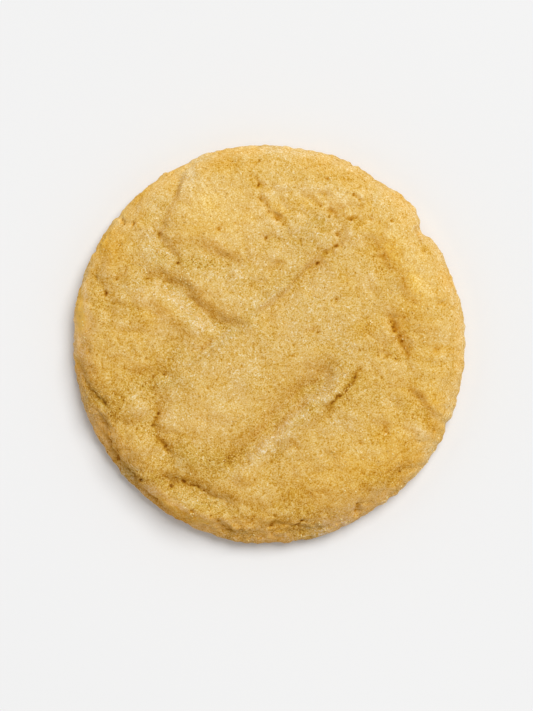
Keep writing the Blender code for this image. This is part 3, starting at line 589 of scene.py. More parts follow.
    (1, 4, 0.4, 2, 2), (34, -11, 0.5, 1.6, 3, 25), (31, -19.5, 0.5, 2, 1.6), (32, -25, 0.5, 2, 2),
    (24, 0, 0.4, 1.4, 2), (24, -14, 0.3, 2, 1.4), (20, -31, 0.3, 3, 2), (16, -24, 0.3, 2, 1.4),
    (-5, -27, 0.4, 2, 2, -45), (-14, -15, 0.4, 1.2, 3), (-8, -4, 0.3, 2, 2), (5, 35.5, 0.3, 2, 1.4),
    (11, 34.5, 0.3, 2, 1.4), (12, 40, 0.4, 3, 1.2), (28.5, 31, 0.4, 2, 1.4, -45), (41, 5, 0.5, 1, 2),
    (0, -22, 0.3, 1.2, 3, -20), (-10, -7, 0.3, 2, 2), (36, -8, 0.3, 2, 2), (-41.5, -3, 0.7, 1.2, 2.4),
    (-35.5, -20, 0.8, 1.4, 1.8, 30), (-31.5, -24.5, 0.4, 1.4, 2, 40), (-20.5, -35.8, 0.6, 3, 1.2, -35),
    (3, -42.5, 0.7, 4, 1), (15, -38.5, 0.5, 2, 1.2), (4, 42, 0.8, 3, 1), (-17, 38, 0.6, 1.6, 1.2, 30),
    (-13, 29.5, 0.4, 3, 2.4), (-33, 24, 0.4, 1.6, 1.6), (11, 26.5, -0.5, 3, 1.4, -20),
    (18, 25.5, -0.3, 2, 1.2), (-13, 17.5, -0.5, 5, 1.2, -5), (-3, 6, -0.4, 1.4, 3),
    (9, -13.5, -0.35, 7, 1.4, 20), (18, -10, -0.3, 1.6, 3, -20), (-34, -12.5, -0.4, 2, 1.6),
    (3, 3, 0.4, 1.4, 3), (-13, -16, 0.3, 3, 3), (-8, -30, 0.3, 3, 2), (33, -14, -0.2, 2, 1.2),
    (28, 1, -0.2, 1.4, 2), (-20, -38.5, -0.6, 3, 0.8, -30), (-31, -28.5, -0.4, 1.2, 2, -45),
    (33.5, 13, 0.3, 3, 3), (25, -29, -0.3, 6, 1.4, 25), (-8, 3, -0.3, 3, 1.4, 30), (-24, -18, -0.3, 2, 3),
    (-28, 4, -0.3, 2, 2), (31.5, 20.5, -0.3, 1.6, 1.6), (-40.5, -10, 0.5, 1, 3),
    (-38.5, -14, 0.5, 1.6, 1.6), (-35, -20, 0.8, 2, 1.6, 45), (-30, -23, 0.6, 1.8, 1.8),
    (-20, -35, 0.9, 4, 1, -35), (-14, -38.5, 0.7, 2.4, 1, -25), (-38.5, 17, 0.4, 2, 2),
    (-17.5, 35.5, 0.5, 1.4, 2.4), (-24.5, 32, 0.3, 1.6, 2), (-2.5, 41.5, 0.6, 1.6, 0.8),
    (-10, 41.5, 0.6, 1.6, 0.8), (16, -20, 0.2, 3, 2), (35.5, -13, 0.4, 1.2, 2), (40, -11, 0.5, 1.2, 3),
    (33, -21, 0.4, 2, 1.6), (28.5, -25.5, 0.4, 3, 1, 20), (28, 31.5, 0.4, 1.4, 1.4),
    (12.5, 11, 0.45, 1.6, 1, 30), (-26, -31, 0.5, 1.6, 1), (-8, 13, 0.35, 1.8, 1), (-14, 9.5, 0.3, 2, 1),
    (-26, 8, 0.3, 2, 1.4), (-11, 21, 0.3, 2, 2), (-6, 26, 0.3, 2, 3), (-3, -25.5, 0.4, 1.4, 1),
    (1, -20, 0.3, 2, 1, 45), (27, -5.5, 0.3, 1.6, 1.2), (39.5, 2.5, 0.3, 1.4, 2),
    (-16, 17, -0.4, 4, 1.2, -10), (-20, 12, -0.3, 4, 1, -15), (-7.5, 10, -0.4, 2.4, 1, 20),
    (-14, 5, -0.3, 3, 1, -20), (-2, 5, -0.4, 1.2, 3), (-21, -7, -0.3, 2.5, 2), (-17, -8, -0.3, 1.6, 1.6),
    (-14, -2, -0.3, 2.4, 2.4), (-18, -22, -0.4, 2.4, 1.6), (-5, -24, -0.4, 2, 1.2, -40),
    (-14, -34.5, -0.6, 2.4, 1, -30), (-25, -28.5, -0.5, 3, 1, -25), (-31, -28.5, -0.6, 1.6, 1, -45),
    (-22, -37.8, -0.8, 3.5, 0.8, -32), (38, 6.5, -0.4, 1.8, 1), (28, -1.5, -0.35, 1.4, 1.6),
    (19, -29, -0.3, 3, 1.4), (9, -12, -0.3, 3, 1.2, 20), (18, -7.5, -0.3, 2.4, 1, 30),
    (22.5, 30.5, -0.4, 0.8, 2), (15, -40.5, -0.4, 4, 0.8, 25), (37, -18, -0.4, 1.2, 2),
    (3, -16, -0.3, 2, 1), (-4, -15, -0.4, 0.8, 1.4), (-39.2, 12.5, 0.5, 1.2, 1.4),
    (-41, 0, 0.4, 0.8, 1.6), (30, -28.5, 0.5, 1.6, 1.2), (-18, 37.5, -0.35, 1.4, 1.2),
)

# Where the crust is lighter or, with a negative strength, darker: partly its own paler or darker patches,
# partly painted light and shade on the slopes of folds, ridges and the rim
TONES = spots(
    (-12, 31, 0.11, 12, 6, 10), (-24, 33, 0.06, 4, 6, -45), (-29, 27.5, 0.06, 4, 4),
    (-1.5, 25, 0.12, 4.5, 3.5, -45), (-10, 21.5, 0.05, 5, 2, -20), (4, 33, 0.08, 3, 3),
    (14, 31, 0.1, 6, 2.4, -15), (27, 21, 0.14, 3, 7, 25), (33, 15, 0.06, 4, 5), (37, 2, 0.09, 3, 5),
    (36.5, -8, 0.09, 2.5, 5), (31.8, -20, 0.16, 3.6, 1.8, -45), (18, -34.5, 0.08, 3, 3),
    (14, 21, 0.1, 3, 2.4), (11, 17, 0.06, 3, 2, 45), (-24, 10.5, 0.08, 4, 1.8, -20),
    (-11, 9, 0.05, 5, 3, -30), (-40.5, 6, 0.2, 2, 6), (-17, 36, 0.16, 1.5, 2.8, -10),
    (-8, -8, 0.07, 4, 6), (-16, -15, 0.06, 5, 5), (3.5, -17.5, 0.05, 14, 1.8, 44), (-7, -29.5, 0.1, 3, 2),
    (-9, -38, 0.07, 5, 1.4), (-22, 17.5, -0.06, 7, 2.2), (-25, -6.5, -0.08, 5, 2.6),
    (-31, -12.5, -0.1, 3.5, 4.5), (-17, -24.5, -0.1, 8, 4, -25), (-21, -28.3, -0.08, 6, 2.4, -20),
    (-37, -11, -0.04, 3, 6, 40), (-33, -25, -0.06, 3, 5, 35), (2, -15, -0.08, 13, 2.2, 45),
    (4, 12, -0.05, 9, 1.8, 43), (20, -10, -0.05, 3, 3), (5, -33, -0.06, 3, 2),
    (26, -28.5, -0.06, 5, 3, 35), (34.5, -16, -0.08, 1.6, 4, 40), (-28, 7, -0.07, 5, 1.6, -15),
    (-8, -36.5, -0.05, 3, 2), (6, -42, -0.12, 7, 1.6), (20, 3.4, -0.1, 3, 1.6, 20),
    (-8, -24.6, -0.2, 3, 1.8, 42), (-10, 33, 0.06, 5, 3), (-9, 22.5, 0.07, 4, 3),
    (-31, 26, 0.05, 1.5, 1.5), (-25, 8.5, 0.1, 3.5, 1.4, -25), (1, 10.4, 0.08, 3.4, 1.4, 32),
    (12, 17.4, 0.05, 1.4, 1.4), (15.5, 30, 0.05, 2, 1.5), (24, 31, 0.06, 2, 3),
    (-40.5, 5.5, 0.07, 1.5, 2), (35, -12.5, 0.08, 1.2, 3, 30), (-19, -34, 0.08, 2, 1.3),
    (-36, -19.5, 0.05, 1.4, 2), (-10, -38.8, 0.06, 5, 0.9), (9, -5.5, 0.05, 4, 1.2, 30),
    (-6.5, -10, 0.05, 1.4, 3), (-12, -17.5, 0.05, 5, 1.4), (27, 5, 0.05, 1, 1.5),
    (32.5, -19.5, 0.06, 3, 0.9, -35), (-25, 13, -0.09, 3, 1.5), (-24.5, -9, -0.1, 2.4, 2.4),
    (-18.5, -22.5, -0.12, 3.4, 2, -25), (4.5, -32, -0.08, 1.8, 1.6), (8, -36.5, -0.1, 1.8, 1.3),
    (3, -36, -0.05, 2, 1.6), (20, -29, -0.08, 3, 2), (34, -17, -0.11, 2.2, 1.2, -30),
    (24, 14.5, -0.08, 1.4, 3.5, 15), (16, 13.4, -0.06, 1.4, 1.6), (28.5, 8, -0.06, 2, 1.5),
    (27.5, -2.8, -0.06, 5, 1), (-21.3, -2.5, -0.1, 1.4, 3), (-13.5, -8.5, -0.06, 2, 2),
    (-38, 14.6, -0.08, 1.5, 1.5), (-38, -0.5, -0.08, 2, 2), (-35.5, 8.6, -0.06, 1.2, 2.2),
    (-30, 6.3, -0.05, 4, 1.2), (-38.5, -12.5, -0.08, 1.5, 1.5), (-33, -15.5, -0.08, 1.6, 3),
    (-27, -18, -0.05, 2.4, 1.4), (-25, -28.4, -0.09, 3, 1.3), (19, 25, -0.08, 1.6, 1.6),
    (17.5, 33.2, -0.07, 4, 1.5, -15), (6.5, 27, -0.05, 3, 1.8), (-16, 17.3, -0.05, 5, 1.4),
    (2, -41.5, -0.08, 8, 1.2), (25.5, -14.5, -0.05, 2, 2), (33, 19.6, -0.07, 1.2, 1.4),
    (-2, 33, -0.04, 2, 3), (-14, 27, 0.05, 11, 8), (-19, 37, 0.06, 1.6, 1.6), (-33, 27, 0.05, 3, 4, -45),
    (37, 17, -0.08, 3, 4), (-10, 38.5, -0.07, 4, 2), (-37.5, 13, -0.06, 2.4, 3), (-31.5, 5, -0.05, 3, 2),
    (-38, -11.5, -0.1, 2.5, 2.5), (-27, -12, -0.08, 4, 2.5), (-27, -17.5, -0.06, 3, 1.8),
    (-16, -23, -0.07, 3.5, 2), (-22, -30, -0.07, 3, 1.4), (-13, -28, -0.05, 3, 2),
    (5, -33.5, -0.06, 3, 3), (8, -37, -0.05, 2.4, 1.4), (9, -15, -0.06, 2.5, 2.5),
    (33, -16, -0.1, 2.2, 2), (23.5, -20.5, -0.05, 2.6, 2), (23.5, -28.6, -0.07, 5, 2, 10),
    (33, 20, -0.07, 2, 2), (29, 8, -0.05, 2, 2), (18, 24.5, -0.09, 2.5, 2), (-1, 21, -0.07, 3, 2),
    (30, -2, -0.05, 2, 2), (-8, -24.5, -0.05, 2, 1.4, 42), (2, -38.5, -0.05, 3, 1.2),
    (-33, 21.5, -0.03, 2.4, 3), (20, 3.4, -0.06, 2, 1.4), (-41, 5, 0.06, 1.5, 3),
    (-35, -20, 0.08, 1.8, 3), (-26, -32, 0.08, 2, 2), (-14, -39, 0.06, 3, 1.3), (-3, -40, 0.06, 3, 1.2),
    (2, -42, 0.07, 5, 1), (19, -36, 0.06, 2, 1.4), (24, -34, 0.05, 2, 1.5), (24, -16.5, 0.08, 2, 2),
    (-16, 12, 0.04, 3, 1.5, -35), (-24.5, 26, 0.05, 2.4, 3), (9, 33, 0.05, 2, 2),
    (3, -13, 0.04, 2.4, 2.4), (-9, 18.4, 0.03, 3, 1.4, -20), (-28, -6, 0.03, 2.4, 2),
    (30, -18, 0.03, 2, 2), (-9.5, -33.6, 0.06, 2.5, 1.2, -25), (20, 26, 0.05, 9, 5, -30),
    (-2, 25.5, 0.05, 3, 2.5, -45), (-18, 36, 0.05, 2, 2), (-30, 25, 0.05, 1.6, 1.6),
    (-15, 12, 0.04, 3, 1.4, -35), (23, 3, 0.04, 4, 3), (35, 2, 0.06, 2.4, 2.4), (37.5, 8.6, 0.06, 2, 1.4),
    (20, 13, 0.05, 1.6, 2.5), (9, -5.5, 0.04, 5, 1.5), (28, -5.5, 0.05, 4, 2),
    (34.5, -14, 0.06, 1, 3, 20), (32.5, -20, 0.05, 2, 1.4), (24, -17.5, 0.06, 1.8, 1.6),
    (18.5, -36, 0.07, 2.4, 1.8), (9, -39, 0.05, 2, 1.4), (-18, -17, 0.05, 2.4, 2),
    (-28, -15, 0.05, 2, 1.2), (-34, -2, 0.04, 3, 2), (-11, -38.8, 0.08, 5, 1.2),
    (1, -20.5, 0.07, 6, 1.6, 45), (25.8, 19.6, 0.09, 2.2, 2), (9.5, 17, 0.05, 2.4, 1.2, 45),
    (-41, 5, 0.08, 1.5, 3), (8, -14.5, -0.06, 2.4, 3), (8.5, 21, -0.06, 1.5, 2),
    (-26.5, 27, -0.08, 2, 1.8), (-34.5, 22.5, -0.04, 1.8, 1.8), (-14, 17, -0.05, 4, 1.2),
    (-38.5, 14.5, -0.05, 1.4, 2), (-19.5, -2.5, -0.06, 2, 2.5), (-30, 1, -0.04, 3, 1.4),
    (-32.5, -16, -0.05, 1.4, 1.6), (-13, -35.8, -0.07, 3, 1.2), (-10, -22.5, -0.05, 1.6, 1.6),
    (27.5, -30, -0.06, 2, 1.4), (23.5, 17, -0.04, 1.5, 2.5), (16, 16, -0.05, 1.4, 1.8),
    (33.5, 14, 0.04, 3, 5), (-40.5, 7, 0.08, 1.6, 3), (-25, 7.4, 0.12, 4.6, 1.3, -43),
    (-38.6, -15, 0.07, 1.4, 6, 28), (-30, -27, 0.06, 2, 2), (-22, -34.5, 0.08, 4.5, 1.5, -35),
    (-9, -39.2, 0.08, 7, 1.2), (2, -42, 0.08, 4, 1), (15, 22.5, 0.06, 2, 2), (34.5, 16, 0.06, 2.4, 2),
    (27, 5, 0.05, 1.6, 1.6), (33, -18.8, 0.05, 1.6, 1.6), (9, 33, 0.05, 2, 2), (-7, 28.5, 0.04, 3, 3),
    (-15, 33, 0.03, 4, 2), (8.5, 14.8, -0.06, 1.4, 1.6), (-14, 17, -0.04, 6, 1.2, -8),
    (-32.5, -13.5, -0.07, 2, 3), (-23.5, -29, -0.05, 3, 1.4), (-13, -34.6, -0.05, 4, 1.4),
    (-9, -24.2, -0.06, 3, 2), (13, -12, -0.05, 6, 2.6, 20), (6, -16, -0.05, 1.6, 1.6),
    (18, -27, -0.06, 2, 2.4), (32, -24, -0.06, 1.6, 1.6), (40, -5, -0.06, 1.4, 3), (3, -5, -0.04, 2, 2),
    (18, 24.5, -0.05, 1.6, 1.4), (-11, 4.8, -0.07, 4, 1.3, -40), (-4, 11.5, -0.06, 2, 2),
    (-22, -5, -0.06, 2.4, 1.6), (-35.5, -9, -0.06, 2.4, 2), (17, -13, -0.06, 3, 3),
    (-25, -20, -0.06, 2, 1.2), (-10.5, 37, -0.06, 2, 1.6), (5, 26, -0.05, 3, 1), (7, 30, -0.05, 2.4, 1.2),
    (-4, 33, -0.05, 1.4, 4), (17, 33, -0.05, 1.6, 1.6), (39, 13, -0.07, 1.4, 3), (9, 5.5, -0.05, 2, 1.6),
    (1, 21, -0.06, 1.8, 1.4), (-16, -24, -0.05, 2.4, 2), (-13, -28, -0.05, 2.4, 1.4),
    (33, -2, -0.05, 2, 1.4), (21, 36.5, -0.06, 8, 1.4, -36), (19, -37.5, -0.06, 1.6, 1.2),
    (-38, 15, -0.06, 1.4, 1.6), (-26, 26, -0.05, 1.6, 1.2), (27, -15, -0.06, 1.6, 1.4),
    (-21, -31, -0.05, 1.6, 1.2), (-16, -34, -0.04, 2, 1.4), (-2, -9, -0.04, 1.4, 3),
    (8, -36, -0.05, 1.6, 1.2), (-26.5, 5, -0.04, 2, 1), (29, 12.5, 0.11, 2, 3),
    (35, -14.5, 0.08, 1.2, 2.4, 20), (32.5, -11, 0.05, 1.4, 2, 20), (-34, -20, 0.07, 2, 1.6),
    (5, -22, 0.07, 2.4, 2), (15, -25, 0.05, 2.4, 1.6), (24, -17, 0.06, 1.6, 1.2), (-9, 11, 0.04, 2, 3),
    (0, 24, 0.05, 1.2, 1.2), (-30, 25.5, 0.06, 1.6, 1.4), (3, 2, 0.03, 5, 2), (-12, -16, 0.05, 5, 1.6),
    (-28, -23, 0.05, 1.8, 1.4), (-26, -32, 0.06, 2, 2), (-20, -35.6, 0.07, 5, 1.4, -32),
    (-4, -40, 0.05, 4, 1.2), (12, 12.5, 0.04, 1.4, 2), (20.5, 12, 0.04, 1.4, 2), (28, -25, 0.05, 2, 2),
    (32.5, -20, 0.05, 1.4, 2, 30), (23, -30, 0.04, 2, 1.4), (-21, 20, 0.04, 2, 1.6),
    (31, 26, 0.06, 1.2, 2), (18.5, 28, 0.04, 1.4, 1.4), (29.5, 18, 0.06, 1.4, 3), (38, -7, 0.04, 1.4, 2),
    (-40.6, 8, 0.07, 1.4, 2.4), (-22, 5.6, 0.05, 1.6, 1.2, -40), (-28, 31.5, -0.05, 3, 1.4, 45),
    (-22.5, 9, -0.05, 2.4, 1.4), (18.3, -7.8, -0.08, 2.2, 1.2, 50), (25, -19, -0.09, 2, 1.6),
    (-22.5, -20.5, -0.07, 3, 1.2), (29.5, 7, -0.07, 1.6, 2, 60), (18, 26, -0.05, 2, 1.4),
    (11.5, 29, -0.04, 1.4, 1.8), (-17, 17, -0.05, 5, 1.6, -20), (-2.5, 5, -0.05, 2, 1.4),
    (1, -24.5, -0.06, 1.6, 2, -45), (27.5, -3, -0.05, 2, 1.2), (37, -18, -0.06, 1.4, 2),
    (5.5, -16, -0.05, 1.4, 1.8), (-4, -9, -0.04, 1.2, 3), (-35, 8.5, -0.06, 1.2, 2.2),
    (-26.5, 6, -0.04, 1.4, 1), (-30, -10, -0.04, 3, 2), (8, 14.5, -0.04, 1.2, 2),
    (-22, -5, -0.04, 2, 1.4), (-21, -30.5, -0.04, 2, 1.2), (-27, -28.5, -0.04, 2, 1.4),
    (4, -31.5, -0.04, 1.6, 1.4), (8, -36.5, -0.05, 1.4, 1.2), (20, -34, -0.04, 1.4, 1.2),
    (-3.5, 33, -0.04, 1.2, 3), (8, -10, -0.05, 2, 1.4), (16, 14, -0.04, 1.2, 1.4),
    (30, -13, -0.06, 1.2, 3, 25), (-24, 27, -0.03, 2, 2), (-39.5, 6, 0.12, 2, 3),
    (-23, 6, 0.1, 1.6, 1.8, -50), (-35, 18.5, 0.08, 1.6, 1.6), (-14, -38.5, 0.08, 3, 1.2, -15),
    (2, -42.5, 0.12, 2.4, 1), (16, -38.5, 0.1, 2, 1.2, 20), (-41.5, -3, 0.1, 1, 2.4),
    (-24, -33, 0.06, 3, 1.4, -40), (-30, 25.5, 0.05, 1.6, 1.4), (-28, 10, 0.05, 2, 1, -30),
    (-17, 12.5, 0.06, 3, 1.2, -30), (-34, -19, 0.06, 2, 2), (-26, -23, 0.06, 1.6, 1.4),
    (22, -23.5, 0.06, 1.6, 1.4), (16, -21.5, 0.05, 1.6, 1.6), (12, -31.5, 0.06, 2, 2),
    (24, -5.5, 0.05, 2, 1.2), (31, -5.5, 0.06, 1.4, 1.4), (28, -9.5, 0.04, 1.6, 1.2),
    (24, 23, 0.05, 1.4, 2), (26, 29, 0.05, 1.6, 1.6), (27, 17, 0.04, 1.4, 1.4), (20, 13, 0.05, 1.4, 2),
    (12, 16, 0.05, 1.2, 1.6), (-4.5, 24, 0.04, 1, 3), (-9, 29, 0.03, 5, 4), (4, 33, 0.05, 1.6, 1.6),
    (11, 32, 0.05, 2, 1), (-9.5, 6, 0.05, 1.4, 1.2), (5, 9.5, 0.04, 1, 2), (4, 1, 0.03, 3, 2),
    (12, 1.5, 0.04, 1.6, 1.4), (28, -26, 0.04, 1.6, 1.6), (-10, -17, 0.04, 4, 1.6),
    (-7, -29, 0.05, 1.6, 1), (-12, 21, 0.04, 3, 1.6, -30), (-28, 30, 0.05, 2, 4, -45),
    (-22, 16.5, 0.05, 1.6, 1.2, -40), (25, 8, 0.04, 3, 1.4), (36.5, 17, 0.05, 1.4, 2),
    (-3, -41, 0.04, 3, 1), (36.5, 20.5, 0.05, 1.6, 3, 30), (-42, 1, 0.08, 1, 4), (-40, 12, 0.06, 1.2, 3),
    (5, 42.5, 0.04, 9, 1), (20, -7.6, -0.05, 1.2, 1.6), (15.8, -9, -0.05, 1.2, 1.6),
    (-27.5, -29, -0.1, 1.6, 1.4), (-30, -31.5, -0.06, 5, 1, -45), (5, -41, -0.06, 6, 1.2),
    (14, -40, -0.08, 2, 1.2), (19.5, -38, -0.08, 1.6, 1.4), (27.5, -30.5, -0.05, 1.6, 1.2),
    (-12, -41.5, -0.08, 2, 0.8), (-33, -24.5, -0.06, 1.4, 1.4), (32, -20, 0.07, 1, 3, 30),
    (-40.8, 6, 0.09, 1.4, 2.4), (-35.5, 14.5, 0.06, 1.2, 2), (-24.5, 8.2, 0.05, 2, 1.2, -40),
    (-32, 4, 0.04, 2, 1.2), (-36, 18, 0.05, 1.4, 1.4), (-17, -36, 0.07, 4, 1, -35), (33, 15, 0.04, 3, 3),
    (30.5, 18, 0.04, 2.4, 2), (33, 8, 0.05, 1.4, 2, 45), (10, -22, 0.03, 2, 3), (18, -17.5, 0.03, 3, 1.4),
    (1, -20.5, 0.04, 4, 1.2, 45), (-5, -26.5, 0.04, 2, 1.6, 45), (9.5, 17, 0.03, 2.4, 1, 45),
    (-13, 6.6, 0.03, 3, 1.2, -45), (-9, 15, 0.03, 2, 1.4), (40, 8, -0.04, 1.2, 5),
    (38.5, 13, -0.04, 1.4, 2), (22, 36.5, -0.03, 6, 1.2, -36), (-1.5, -13, -0.04, 1.2, 3),
    (9, -1.5, -0.03, 3, 1.2), (-15, -1.5, -0.04, 2.4, 1.2, 45), (27.5, -2.5, -0.03, 3, 1.2),
    (20, 5, -0.03, 2, 1.4), (28, 7.5, -0.04, 1.6, 1.4), (-11.5, 17.5, -0.06, 1.6, 1.2),
    (-26, 5.6, -0.05, 1.2, 1.2), (-24.5, -19.5, -0.06, 2.5, 1, -30), (-27.5, -29, -0.06, 1.4, 1.4),
    (27.3, -30, -0.06, 1.2, 1.4), (19.5, -37, -0.06, 1.4, 1.2), (32.5, 19, -0.05, 1.4, 2),
    (34, 23, -0.06, 1.2, 1.2), (20, 37, -0.035, 8, 1, -36), (29, 31, -0.04, 2, 2),
    (41.3, -5, -0.05, 0.8, 4), (37, 14.5, -0.04, 2, 2), (-2.5, 42, -0.05, 2, 0.8),
    (-37.5, -12, -0.05, 1.6, 1.2), (-33, -15.5, -0.04, 1.4, 1.4), (9, -19.5, -0.05, 1.4, 1),
    (19.5, -8.5, -0.03, 2.4, 1), (27.5, 3, -0.09, 1.6, 1.2), (-3.5, 6, -0.04, 1.4, 2.5),
    (-16, -32, -0.04, 2, 2), (26, -16, -0.03, 1.6, 2), (33, -17, -0.04, 1, 1.6, 30),
    (1.5, -2.5, -0.03, 1.4, 1.4), (-42, -3, 0.08, 0.8, 2), (-33, 27, 0.06, 1.6, 1.6),
    (-36, -15, 0.05, 2, 1.4), (-35.5, -20, 0.06, 1.4, 1.8), (-18.5, 36, 0.05, 1.2, 1.6),
    (-7, 41, 0.05, 1.4, 1.2), (-8, 9, 0.03, 2, 2), (-9, 5, 0.03, 2, 1), (-6.5, -10, 0.05, 1.6, 1.6),
    (31.5, -18, 0.05, 1, 2, 30), (11, 12, 0.04, 1.2, 2), (-27, 8.5, 0.04, 3, 1, -30),
    (-23.5, 16.5, 0.04, 1, 1), (27, -7, 0.04, 2, 1.2), (31, -4.5, 0.04, 1.2, 1.2),
    (12.8, -8.3, 0.05, 1.6, 1.4), (-7, -28.5, 0.04, 1.2, 1.2), (-19.5, -34.5, 0.04, 1.6, 1),
    (-14, -38.5, 0.05, 2, 1), (14, 28.5, 0.05, 1.2, 1.4), (7, -13.5, 0.04, 1.2, 1), (22, 1, 0.03, 3, 1.4),
    (33, -11, 0.04, 2, 1, -45), (1, 37, 0.03, 3, 2), (-29, 27, 0.04, 1.2, 2), (17, -9, -0.07, 1.4, 1.2),
    (-17, -36.5, 0.05, 2, 1, -30), (-14, -38.5, 0.07, 1.6, 1), (-20, -35.5, 0.04, 1.6, 1),
    (-24, -34, -0.05, 1.4, 1.2), (-30, -24, 0.04, 1.4, 1.4), (-40, -9, -0.04, 1, 1.6),
    (16, -38.5, 0.05, 1.6, 1.2), (24, -34, 0.03, 1.6, 1.4), (-41, 0, -0.03, 0.8, 1.2),
)

# Soft darker lines of painted shade along folds and creases or, with a negative depth, lighter lines of
# painted light
PAINTED_SHADING_LINES = (
    Furrow(((-18.2, 36.8), (-20, 33.7), (-21.3, 31), (-22.2, 27.5), (-23.3, 24.3)), 0.03, 1.0, 1.2, fade=2),
    Furrow(((-23, 23), (-21.3, 20), (-19.6, 17.8), (-20.3, 15)), 0.02, 0.9, 0.9, fade=2),
    Furrow(((-17, 22.4), (-12.5, 20.4), (-9, 19), (-4.6, 17.4)), 0.02, 1.4, 1.4, fade=3),
    Furrow(
        ((15.4, 22.4), (12.7, 19.8), (10.5, 17.4), (7.6, 14.9), (5.4, 12.9), (2.6, 10.4)),
        0.045, 1.0, 0.9, fade=2,
    ),
    Furrow(((20, 24.4), (23, 22), (25.8, 19.8), (28.2, 16), (29, 12.5), (29, 9.5)), 0.03, 0.9, 2.2, fade=2),
    Furrow(
        ((-24, -7.5), (-25, -10.5), (-24.3, -13), (-23.8, -15), (-24.8, -17.3), (-23.6, -20)),
        0.10, 0.9, 1.0,
    ),
    Furrow(
        ((19.4, -5.2), (18, -7.4), (16.6, -9.2), (15.2, -11), (13.4, -13), (11.6, -15)),
        0.09, 1.0, 0.8, fade=2,
    ),
    Furrow(
        ((-34, -13.8), (-34.8, -17), (-34.3, -20.5), (-32.4, -23.4), (-30.6, -26.4)),
        0.02, 0.6, 1.0, fade=2,
    ),
    Furrow(((-31, -26), (-28.4, -29.4), (-25.8, -33.3), (-23.4, -36)), 0.04, 0.5, 1.4, fade=2),
    Furrow(
        ((-27, 14.6), (-21, 13.8), (-18, 12.2), (-16, 10.8), (-13.8, 8.8), (-11.4, 6.2), (-9.6, 4)),
        0.03, 1.0, 1.0, fade=3,
    ),
    Furrow(((-21.5, 11), (-19, 9.2), (-16.8, 6.8), (-14.8, 4.6), (-12.8, 2.8)), -0.06, 1.2, 1.4, fade=2),
    Furrow(((7, -20.8), (4.5, -21.6), (2.6, -23), (0.8, -25)), 0.06, 0.6, 0.6, fade=1),
    Furrow(((6, 13.6), (3, 10.4), (0, 8.2), (-3, 6)), -0.05, 0.8, 0.8, fade=1.5),
    Furrow(((22.5, 25), (26.5, 21), (28.8, 17), (30.4, 13.4), (31.6, 10.4)), 0.06, 0.5, 3.0, fade=2),
    Furrow(((14.4, 21.6), (12.7, 19.8), (11.2, 18.2)), 0.07, 0.6, 0.6, fade=1),
    Furrow(((20, -4.4), (18.6, -6.8), (17.3, -8.6), (16, -10.2)), 0.07, 0.7, 1.1, fade=1),
    Furrow(((19.9, 31), (19.8, 29.2), (18.8, 27.4), (17.4, 26.4), (16.2, 26.4)), 0.07, 0.4, 0.5, fade=1),
    Furrow(((12.8, 30), (13.3, 28.2), (12.8, 27)), 0.07, 0.4, 0.4, fade=1),
    Furrow(((14, 23.8), (14.8, 23.2), (15.5, 22.7)), 0.10, 0.4, 0.4, fade=0.6),
    Furrow(((8, 29.7), (9.6, 29.3), (11.3, 29.5)), 0.06, 0.4, 0.4, fade=0.6),
    Furrow(((24, 26.2), (26, 26.6), (29.4, 26.1)), 0.05, 0.4, 0.4, fade=1),
    Furrow(((6.5, 24), (10, 24.6), (13.6, 24.4)), 0.05, 0.5, 0.7, fade=1.5),
    Furrow(((3.4, 31), (7.6, 29.8), (8.4, 26.4)), 0.05, 0.5, 0.8, fade=1.5),
)

# Where sugar lies thick enough to shine
BRIGHT_SUGAR = (
    (-8.3, 7.1), (6.3, 1.7), (0.3, 1.6), (-2.8, 4.8), (-9, -6.5), (-4.5, -2.6), (-0.4, -7.4), (3.1, 4.5),
    (17, 26), (24.3, 29.3), (25, 29.3), (29.6, 26.2), (28.3, 16.4), (13, 34.9), (-23.1, 27.7),
    (-17.4, 15.3), (-18.9, 14.3), (-18.1, 13.8), (-17.3, 13.2), (-16.5, 12.6), (-29.3, 12.3), (-26.1, 19.8),
    (-7.2, 28.5),
    (-6.7, 41.2), (9.5, 38.6), (5, 33), (-18.3, -33), (-26.8, -20.6), (-24.6, -24.7), (-16.4, -27.5),
    (-16.4, -35.8), (15, -10), (9.2, -13), (5.3, -15.9), (20.9, -24.2), (-2.7, -30.8), (15.8, -30.7),
    (15.3, -37.2), (10.9, -38), (16.5, -17), (8.9, -28.5), (37.9, -14.6), (34, -21.7), (33.4, -22.7),
    (32.5, -26.7), (30.3, -27.6), (25.3, -32.5), (27.1, 1), (28.5, 7.3), (21.4, 4.5), (32.8, 0.9),
    (-21, -7.3), (-23.4, -8.5), (-35.5, 5.3), (-39.8, 4.2), (-39.8, 0.7), (-17.5, 37.5), (-16.8, 36),
    (-16, 34.5), (-17, 33.7), (-18, 33), (-18.5, 32.2), (7.5, -15.5), (3, -19.5), (0.5, -22), (-3, -25),
    (10.5, -11.5), (13, -9), (36.4, -19.5), (35.2, -22.5), (33.6, -25.5), (31.2, -28.2), (28.4, -31),
    (24.5, -34), (20, -36.8), (16.5, -38.4), (12, -39.9), (39.4, -13), (7, -41.2),
)


def mesh_points(mesh: bpy.types.Mesh) -> Array:
    """The mesh's points in metres, one row each."""
    points = np.empty(len(mesh.vertices) * 3, np.float32)
    mesh.vertices.foreach_get("co", points)
    return points.reshape(-1, 3).astype(float)


def move_points(mesh: bpy.types.Mesh, points: Array) -> None:
    """Puts the mesh's points in these places, in metres."""
    mesh.vertices.foreach_set("co", points.astype(np.float32).ravel())
    mesh.update()


def point_normals(mesh: bpy.types.Mesh) -> Array:
    """The mesh's normal at each point."""
    normals = np.empty(len(mesh.vertices) * 3, np.float32)
    mesh.vertex_normals.foreach_get("vector", normals)
    return normals.reshape(-1, 3).astype(float)


def triangle_corners(mesh: bpy.types.Mesh) -> Array:
    """The three corners of each of the mesh's triangles, as point numbers."""
    mesh.calc_loop_triangles()
    corners = np.empty(len(mesh.loop_triangles) * 3, np.int32)
    mesh.loop_triangles.foreach_get("vertices", corners)
    return corners.reshape(-1, 3)


